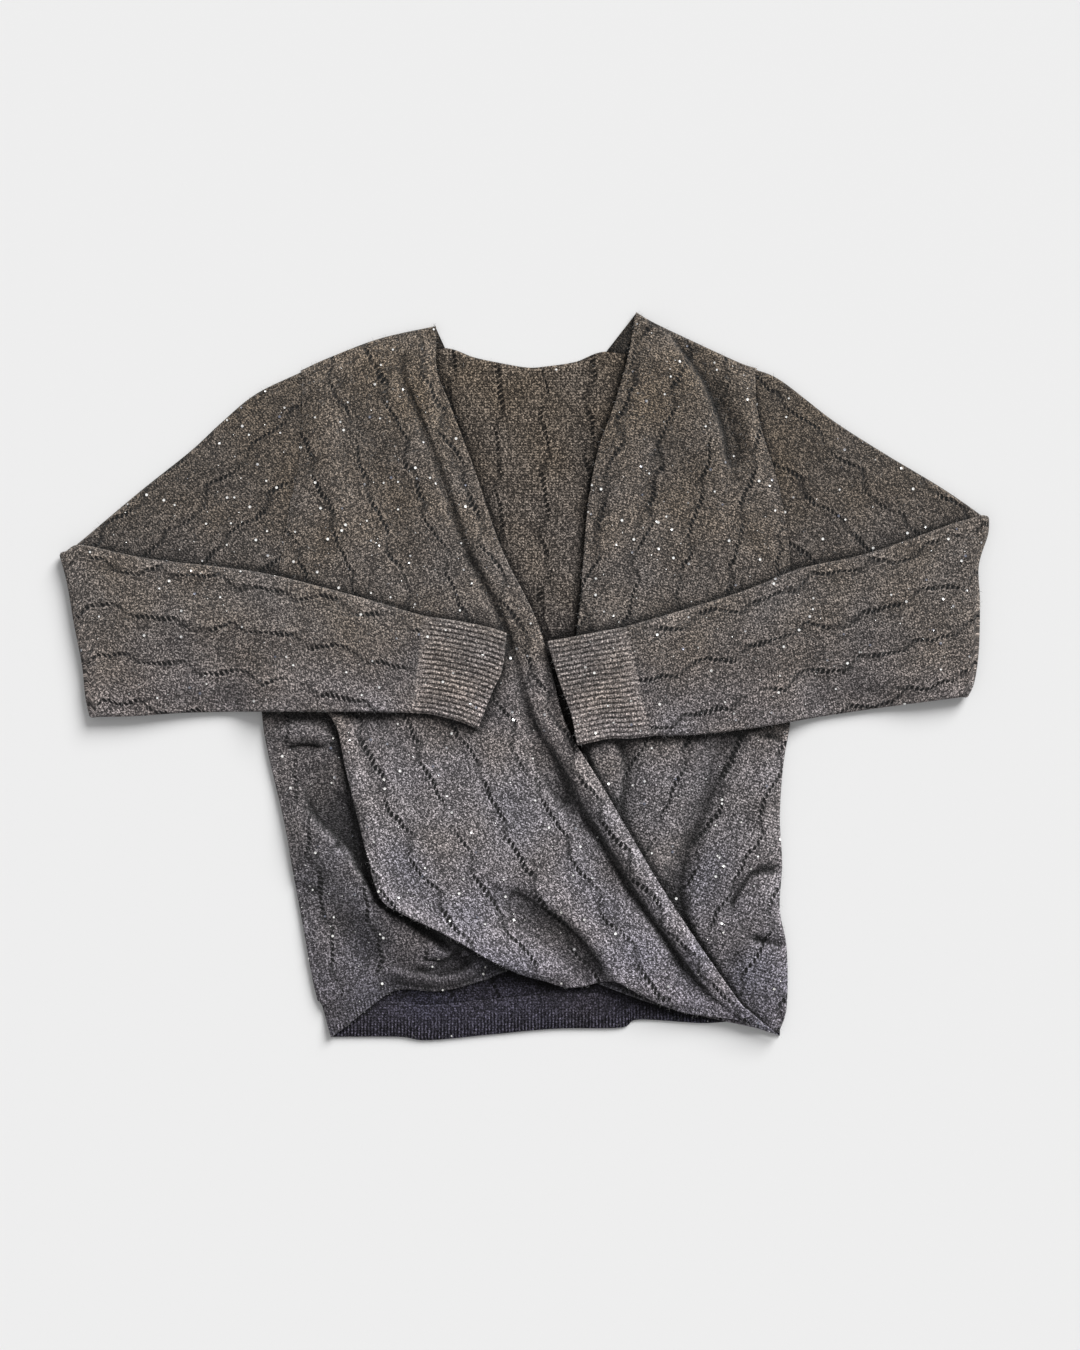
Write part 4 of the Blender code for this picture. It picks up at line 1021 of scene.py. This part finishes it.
class JUMPER_OT_back(bpy.types.Operator):
    """Lays the back panel and its ribbed hem"""
    bl_idname = "jumper.back"
    bl_label = "Back Panel"

    def execute(self, context):
        """The panel is a patch between its edges, and its hem is raised as a cosine across it."""
        edges = (SEAM_RIGHT + NECK_BACK[1:-1] + SEAM_LEFT, HEM_BACK,
                 [SEAM_RIGHT[0]] + ARMHOLE_RIGHT[1:] + SIDE_RIGHT[1:],
                 [SEAM_LEFT[-1]] + ARMHOLE_LEFT[1:] + SIDE_LEFT[1:])
        u = np.linspace(0, 1, 110)
        v = close_ends(140, BACK_LENGTH, last=False)
        xy = patch(*edges, u[None, :], v[:, None])
        keep = v < 1 - BACK_HEM / BACK_LENGTH
        keep[np.argmax(~keep)] = True
        xy = xy[keep]
        xy[-1] = patch(*edges, u, 1.0) + [0.0, BACK_HEM]
        run = run_length(xy, 1)
        side = np.minimum(run, run[:, -1:] - run)
        bottom = (v[keep].max() - v[keep])[:, None] * BACK_LENGTH
        lift = 0.5 * ripple(xy, 60.0, 3) * (side / 30).clip(0, 1) * (bottom / 30).clip(0, 1)
        neck = run_length(xy, 0)
        high = WALL * from_low(0.3, rounded(neck)) + np.maximum(lift, 0) * (neck / 20).clip(0, 1)
        outer = with_height(xy, high)
        # The back's colour below the chest is darkened by low, painted shade where the fronts' hems lie over
        # it
        panel = make_shell("back_cloth", outer, with_height(xy, 0.0), xy, False,
                           knit("back_knit", lace=0.9, lace_first=-0.0225, low=0.23, cool=1.25), inside=0.0)
        present(["back_panel"])
        lay_down(outer, fringe=slice(8))
        u = np.linspace(0, 1, 1080)
        first = patch(*edges, u, 1.0) + [0.0, BACK_HEM]
        f, gap, xy, phase = rib_rows(first, curve(HEM_BACK, u), 12, BACK_HEM, BACK_RIBS, u)
        end_round = rounded(gap, HEM_ROUND)[:, None]
        ridge = context.scene.jumper_sizes.rib_rise / MM * (1 + np.cos(phase)) * from_low(0.3, end_round)
        outer = with_height(xy, WALL * from_low(0.4, end_round) + ridge * 0.8 * eased(f)[:, None])
        # Painted shade in the grooves between the ribs, and below the chest by low
        rib = make_shell("back_hem_cloth", outer, with_height(xy, 0.0), xy, False,
                         knit("back_hem_knit", lace=0.0, low=0.36, cool=1.2, coarse=0.8),
                         groove_shade(phase)[None, :] * 1.35 * from_low(0.25, eased(f))[:, None], 0.0)
        present(["back_hem_rib"])
        lay_down(outer, fringe=slice(-6, None))
        return {"FINISHED"}


class JUMPER_OT_front_under(bpy.types.Operator):
    """Lays the front that is sewn to the wearer's left shoulder, with its neck band"""
    bl_idname = "jumper.front_under"
    bl_label = "Under Front"

    def execute(self, context):
        lay_front("front_under_cloth", FRONT_UNDER, False, ["front_under", "neckband_under"],
                  260, 120, 0.0, 11, knit("front_under_knit", lace_first=0.050, low=0.80))
        return {"FINISHED"}


class JUMPER_OT_front_side(bpy.types.Operator):
    """Lays the side part of the upper front and its ribbed hem"""
    bl_idname = "jumper.front_side"
    bl_label = "Side Part"

    def execute(self, context):
        """A patch raised by the gathers at the side seam, then a strip of cosine ribs."""
        pile = LAID["pile"]
        edges = (SIDE_PART_TOP, SIDE_PART_LOW, SIDE_PART_LEFT, SIDE_PART_INNER)
        u, v = close_ends(90, 120.0), np.linspace(0, 1, 170)
        xy = patch(*edges, u[None, :], v[:, None])
        run = run_length(xy, 1)
        from_inner = run[:, -1:] - run
        side = np.minimum(run, from_inner)
        trench = 3.0 * np.exp(-((from_inner - 16.0) / 14.0) ** 2)
        lift = settled(5.5 - trench + folds_at(xy, FOLDS_SIDE) + 0.5 * ripple(xy, 40, 21), 11.0)
        gap, _, under = distance(xy, FOLD_EDGE)
        lift *= 1.0 - 0.88 * eased((np.where(under, gap, -gap) + 3.0) / 12.0)
        low = pile.cushion(xy) + lift * (side / 14.0).clip(0, 1) ** 0.6
        outer, inner = with_height(xy, low + thickness(xy, low, side)), with_height(xy, low)
        # Painted shade in the valleys of the gathers, and a painted shadow in the low trench beside the upper
        # front's free edge
        shade = valley_shade(xy, FOLDS_SIDE) + 0.4 * eased((5.0 - lift) / 5.0) * np.exp(-(gap / 26.0) ** 2)
        piece = make_shell("front_side_cloth", outer, inner, grain(xy, SIDE_PART_LEFT), False,
                           knit("front_side_knit", lace_first=0.02, low=0.60), shade)
        present(["front_side"])
        u = np.linspace(0, 1, 630)
        f, gap, xy, phase = rib_rows(patch(*edges, u, 1.0), curve(HEM_SIDE, u), 14, SIDE_HEM, SIDE_RIBS, u)
        run = run_length(xy, 1)
        side = np.minimum(np.minimum(run, run[:, -1:] - run), gap[:, None])
        start = np.interp(run[0], run_length(outer[-1:], 1)[0], inner[-1, :, 2])
        low = np.maximum(pile.cushion(xy), start * (1 - f)[:, None])
        low += folds_at(xy, FOLDS_CURL).clip(-0.6 * (low - 3.0).clip(0), None) * eased((1 - f) * 2.5)[:, None]
        ridge = 0.5 * context.scene.jumper_sizes.rib_rise / MM * (1 + np.cos(phase))
        ridge = ridge * from_low(0.3, rounded(gap, HEM_ROUND))[:, None] * 0.7 * eased(f * 1.1)[:, None]
        rib_outer = with_height(xy, low + thickness(xy, low, side) + ridge)
        # Painted shade in the grooves between the ribs
        rib = make_shell("front_side_hem_cloth", rib_outer, with_height(xy, low), grain(xy, SIDE_PART_LEFT),
                         False, knit("front_side_hem_knit", lace=0.0, low=0.72, coarse=0.8),
                         groove_shade(phase)[None, :] * 0.8 * eased(f)[:, None])
        present(["front_side_rib"])
        lay_down(outer)
        lay_down(rib_outer)
        return {"FINISHED"}


class JUMPER_OT_front_over(bpy.types.Operator):
    """Lays the front that crosses over from the wearer's right shoulder, with its neck band"""
    bl_idname = "jumper.front_over"
    bl_label = "Over Front"

    def execute(self, context):
        lay_front("front_over_cloth", FRONT_OVER, True, ["front_over", "neckband_over"],
                  290, 132, 3.0, 31, knit("front_over_knit", lace_first=0.052))
        return {"FINISHED"}


class JUMPER_OT_sleeves(bpy.types.Operator):
    """Lays both sleeves, folded at the elbow, and their ribbed cuffs"""
    bl_idname = "jumper.sleeves"
    bl_label = "Sleeves And Cuffs"

    def execute(self, context):
        sleeve = knit("sleeve_knit", lace=1.12, lace_first=0.013, shade=0.97, mirrored=True)
        cuff = knit("cuff_knit", lace=0.0, shade=1.85, coarse=0.72)
        for side, tube, end, turn, seed in (("right", SLEEVE_RIGHT, CUFF_RIGHT, -1, 41),
                                            ("left", SLEEVE_LEFT, CUFF_LEFT, 1, 51)):
            beneath = lay_sleeve(f"sleeve_{side}_cloth", tube, f"sleeve_{side}", seed, sleeve)
            lay_cuff(f"cuff_{side}_cloth", end, f"cuff_{side}", turn, beneath, cuff)
        return {"FINISHED"}


class JUMPER_OT_painted_shade(bpy.types.Operator):
    """Paints shade into the yarn's colour in the folds and beside the edges, and light on ridges"""
    bl_idname = "jumper.hollows"
    bl_label = "Hollows"

    def execute(self, context):
        """Painted shade is how much higher the cloth around a point stands, close by and further off:
        the pile's height, blurred narrowly and widely, less the height of the point. Where the point stands
        higher, down to LIT, it is painted light."""
        pile = LAID["pile"]
        around = [(0.25, smoothed(pile.height, 2.6)), (0.07, smoothed(pile.height, 9.0))]
        for mesh, outer, shades in LAID["shells"]:
            hollow = sum(share * (pile.sampled(field, outer[..., :2]) - outer[..., 2])
                         for share, field in around)
            shades[0] = np.maximum(shades[0], hollow.clip(LIT, DEEPEST_SHADE))
            mesh.attributes["hollows"].data.foreach_set("value", shades.reshape(-1))
        return {"FINISHED"}


def picked_places(wanted, seed, by_corner=False):
    """Seeded places on the laid skins that face up, with their normals: even over the cloth, or
    at the corners of its grid, which lie closer by free edges and folds. Places more than a few
    millimetres under the top of the pile are left out."""
    rng = np.random.default_rng(seed)
    points, ways, shares = [], [], []
    for skin, normal in LAID["skins"]:
        if by_corner:
            area = np.full(skin.shape[:2], skin_area(skin) / skin[..., 0].size)
            spot, way = skin, normal
        else:
            area = cell_crosses(skin)
            a, b = rng.uniform(0, 1, area.shape)[..., None], rng.uniform(0, 1, area.shape)[..., None]
            spot = ((1 - a) * ((1 - b) * skin[:-1, :-1] + b * skin[:-1, 1:])
                    + a * ((1 - b) * skin[1:, :-1] + b * skin[1:, 1:]))
            way = normal[:-1, :-1]
        top = LAID["pile"].sampled(spread_out(LAID["pile"].height, 1), spot[..., :2])
        seen = spot[..., 2] > top - (3.0 if by_corner else 2.2)
        for found, values in ((points, spot), (ways, way), (shares, area)):
            found.append(values[seen])
    points, ways, shares = np.concatenate(points), np.concatenate(ways), np.concatenate(shares)
    chosen = rng.choice(len(points), wanted, p=shares / shares.sum())
    return points[chosen], ways[chosen] * np.where(ways[chosen, 2:3] < 0, -1.0, 1.0), rng


def add_copies(name, each, own, material):
    """Many small pieces in one mesh: each one's points, and the corners of one of them."""
    faces = (np.arange(len(each))[:, None, None] * each.shape[1] + own[None]).reshape(-1, 3)
    piece = add_mesh(name, each.reshape(-1, 3), faces, material)


class JUMPER_OT_sequins(bpy.types.Operator):
    """Scatters the small sequins over the cloth"""
    bl_idname = "jumper.sequins"
    bl_label = "Sequins"

    def execute(self, context):
        """Each sequin is a shallow cone of eight sides on a small disc, tilted by a seeded amount."""
        sizes = context.scene.jumper_sizes
        colours = context.scene.jumper_colours
        finish = Finish("sequin_gloss", colours.sequin, 0.16)
        # Painted glints: the base colour runs at random from a dark blue grey through the sequin colour to
        # near white, as if each sequin caught the light or not
        glint = finish.noise(finish.own_place(), 130.0, 0.0)
        finish.feed("Base Color", finish.ramp(glint, [(0.30, (0.16, 0.17, 0.22)), (0.50, colours.sequin),
                                                      (0.62, (1.0, 1.0, 0.98))]))
        for socket, value in (("Metallic", 0.15), ("Coat Weight", 0.6), ("Coat Roughness", 0.05)):
            finish.set(socket, value)
        points, ways, rng = picked_places(sizes.sequin_count, 71)
        ways = unit(ways + rng.normal(0, 0.16, ways.shape))
        side = unit(np.cross(ways, [0.0, 1.0, 0.0]))[:, None]
        other = np.cross(ways[:, None], side)
        radius = sizes.sequin_radius / MM * rng.choice([0.35, 0.72, 0.95], len(points), p=[0.50, 0.30, 0.20])
        angle = np.linspace(0, TAU, 8, endpoint=False)[None, :, None]
        ring = np.cos(angle) * side + np.sin(angle) * other
        rim = points[:, None] + radius[:, None, None] * ring + ways[:, None] * 0.75
        each = np.concatenate([rim, rim - ways[:, None] * 0.15, (points + ways * 0.60)[:, None],
                               (points + ways * 0.45)[:, None]], axis=1)
        k = np.arange(8)
        n = (k + 1) % 8
        top, foot = k * 0 + 16, k * 0 + 17
        own = np.concatenate([np.stack(corners, -1) for corners in (
            (k, n, top), (n + 8, k + 8, foot), (k, k + 8, n + 8), (k, n + 8, n))])
        add_copies("sequins", each, own, finish.material)
        return {"FINISHED"}


class JUMPER_OT_fibres(bpy.types.Operator):
    """Raises loose fibres off the yarn"""
    bl_idname = "jumper.fibres"
    bl_label = "Loose Fibres"

    def execute(self, context):
        """Each fibre is a bent blade: foot, middle and tip along a direction that leans off the normal."""
        sizes = context.scene.jumper_sizes
        tone = [0.7 * c for c in context.scene.jumper_colours.pale_yarn]
        finish = Finish("fibre_yarn", tone, 0.9)
        speck = finish.noise(finish.own_place(), 300.0, 1.0)
        finish.feed("Base Color", finish.mix(speck, opaque(tone, 0.5), opaque(tone, 1.3)))
        points, ways, rng = picked_places(sizes.hair_count, 83, by_corner=True)
        way = ways * 0.55 + unit(rng.normal(0, 1, ways.shape))
        way[:, 2] = np.abs(way[:, 2]) * 0.6 + 0.05
        way = unit(way)
        across = unit(np.cross(way, rng.normal(0, 1, way.shape)))
        reach = sizes.hair_length / MM * rng.uniform(0.4, 1.1, len(points))[:, None]
        half = 0.07 * across
        middle = points + way * reach * 0.5 + ways * 0.3
        tip = points + way * reach + across * reach * 0.25
        each = np.stack([points - half, points + half, middle + half * 0.8, middle - half * 0.8, tip], axis=1)
        add_copies("loose_fibres", each, np.array([[0, 1, 2], [0, 2, 3], [3, 2, 4]]), finish.material)
        return {"FINISHED"}


class JUMPER_OT_stage(bpy.types.Operator):
    """Makes the floor, the soft lights and the camera straight above"""
    bl_idname = "jumper.stage"
    bl_label = "Stage"

    def execute(self, context):
        """The camera stands over the photograph's middle, and its frame is as tall as the photograph's."""
        scene = context.scene
        mesh = bpy.data.meshes.new("floor")
        corners = [(x, y, -0.0004) for x, y in ((-4, -4), (4, -4), (4, 4), (-4, 4))]
        mesh.from_pydata(corners, [], [(0, 1, 2, 3)])
        mesh.materials.append(Finish("floor_paint", scene.jumper_colours.floor, 0.9).material)
        floor = bpy.data.objects.new("floor", mesh)
        scene.collection.objects.link(floor)
        for name, strength, softness, rise, bearing in (
                ("window_light", 4.0, 34.0, 34.0, 34.0), ("fill_light", 0.25, 60.0, 50.0, 215.0)):
            lamp = bpy.data.lights.new(name, "SUN")
            lamp.energy = strength
            lamp.angle = np.radians(softness)
            holder = bpy.data.objects.new(name, lamp)
            holder.location = (np.sin(np.radians(bearing)), np.cos(np.radians(bearing)), 1.5)
            holder.rotation_euler = (np.radians(rise - 90.0), 0.0, -np.radians(bearing))
            scene.collection.objects.link(holder)
        world = bpy.data.worlds.new("studio_air")
        world.use_nodes = True
        air = world.node_tree.nodes["Background"].inputs
        air["Color"].default_value = (1.0, 1.0, 1.0, 1.0)
        air["Strength"].default_value = 0.34
        scene.world = world
        lens = bpy.data.cameras.new("camera")
        lens.sensor_fit = "VERTICAL"
        lens.sensor_height = 24.0
        lens.lens = 24.0 * EYE_HEIGHT / (PHOTO_SIZE[1] * PHOTO_SCALE * MM)
        eye = bpy.data.objects.new("camera", lens)
        eye.location = ((PHOTO_SIZE[0] / 2 - PLAN_ORIGIN[0]) * PHOTO_SCALE * MM - CENTRE[0] * MM,
                        (PLAN_ORIGIN[1] - PHOTO_SIZE[1] / 2) * PHOTO_SCALE * MM - CENTRE[1] * MM,
                        EYE_HEIGHT + 0.008)
        scene.collection.objects.link(eye)
        scene.camera = eye
        scene.view_settings.view_transform = "Standard"
        return {"FINISHED"}


class JUMPER_PT_sidebar(bpy.types.Panel):
    """Lists the sizes, the colours and the pieces in the sidebar"""
    bl_idname = "JUMPER_PT_sidebar"
    bl_label = "Wrap Front Jumper"
    bl_space_type = "VIEW_3D"
    bl_region_type = "UI"
    bl_category = "Jumper"

    def draw(self, context):
        for group, values in ((JumperSizes, context.scene.jumper_sizes),
                              (JumperColours, context.scene.jumper_colours)):
            for name in group.__annotations__:
                self.layout.prop(values, name)
        for step in STEPS:
            self.layout.operator(step.bl_idname)


STEPS = (JUMPER_OT_back, JUMPER_OT_front_under, JUMPER_OT_front_side, JUMPER_OT_front_over,
         JUMPER_OT_sleeves, JUMPER_OT_painted_shade, JUMPER_OT_sequins, JUMPER_OT_fibres, JUMPER_OT_stage)
CLASSES = (JumperSizes, JumperColours) + STEPS + (JUMPER_PT_sidebar,)


def register():
    for item in CLASSES:
        bpy.utils.register_class(item)
    bpy.types.Scene.jumper_sizes = bpy.props.PointerProperty(type=JumperSizes)
    bpy.types.Scene.jumper_colours = bpy.props.PointerProperty(type=JumperColours)


def unregister():
    del bpy.types.Scene.jumper_colours
    del bpy.types.Scene.jumper_sizes
    for item in reversed(CLASSES):
        bpy.utils.unregister_class(item)


def main():
    """Makes every piece in the order in which the cloth is laid."""
    register()
    for step in STEPS:
        getattr(bpy.ops.jumper, step.bl_idname.split(".")[1])()


if __name__ == "__main__":
    main()
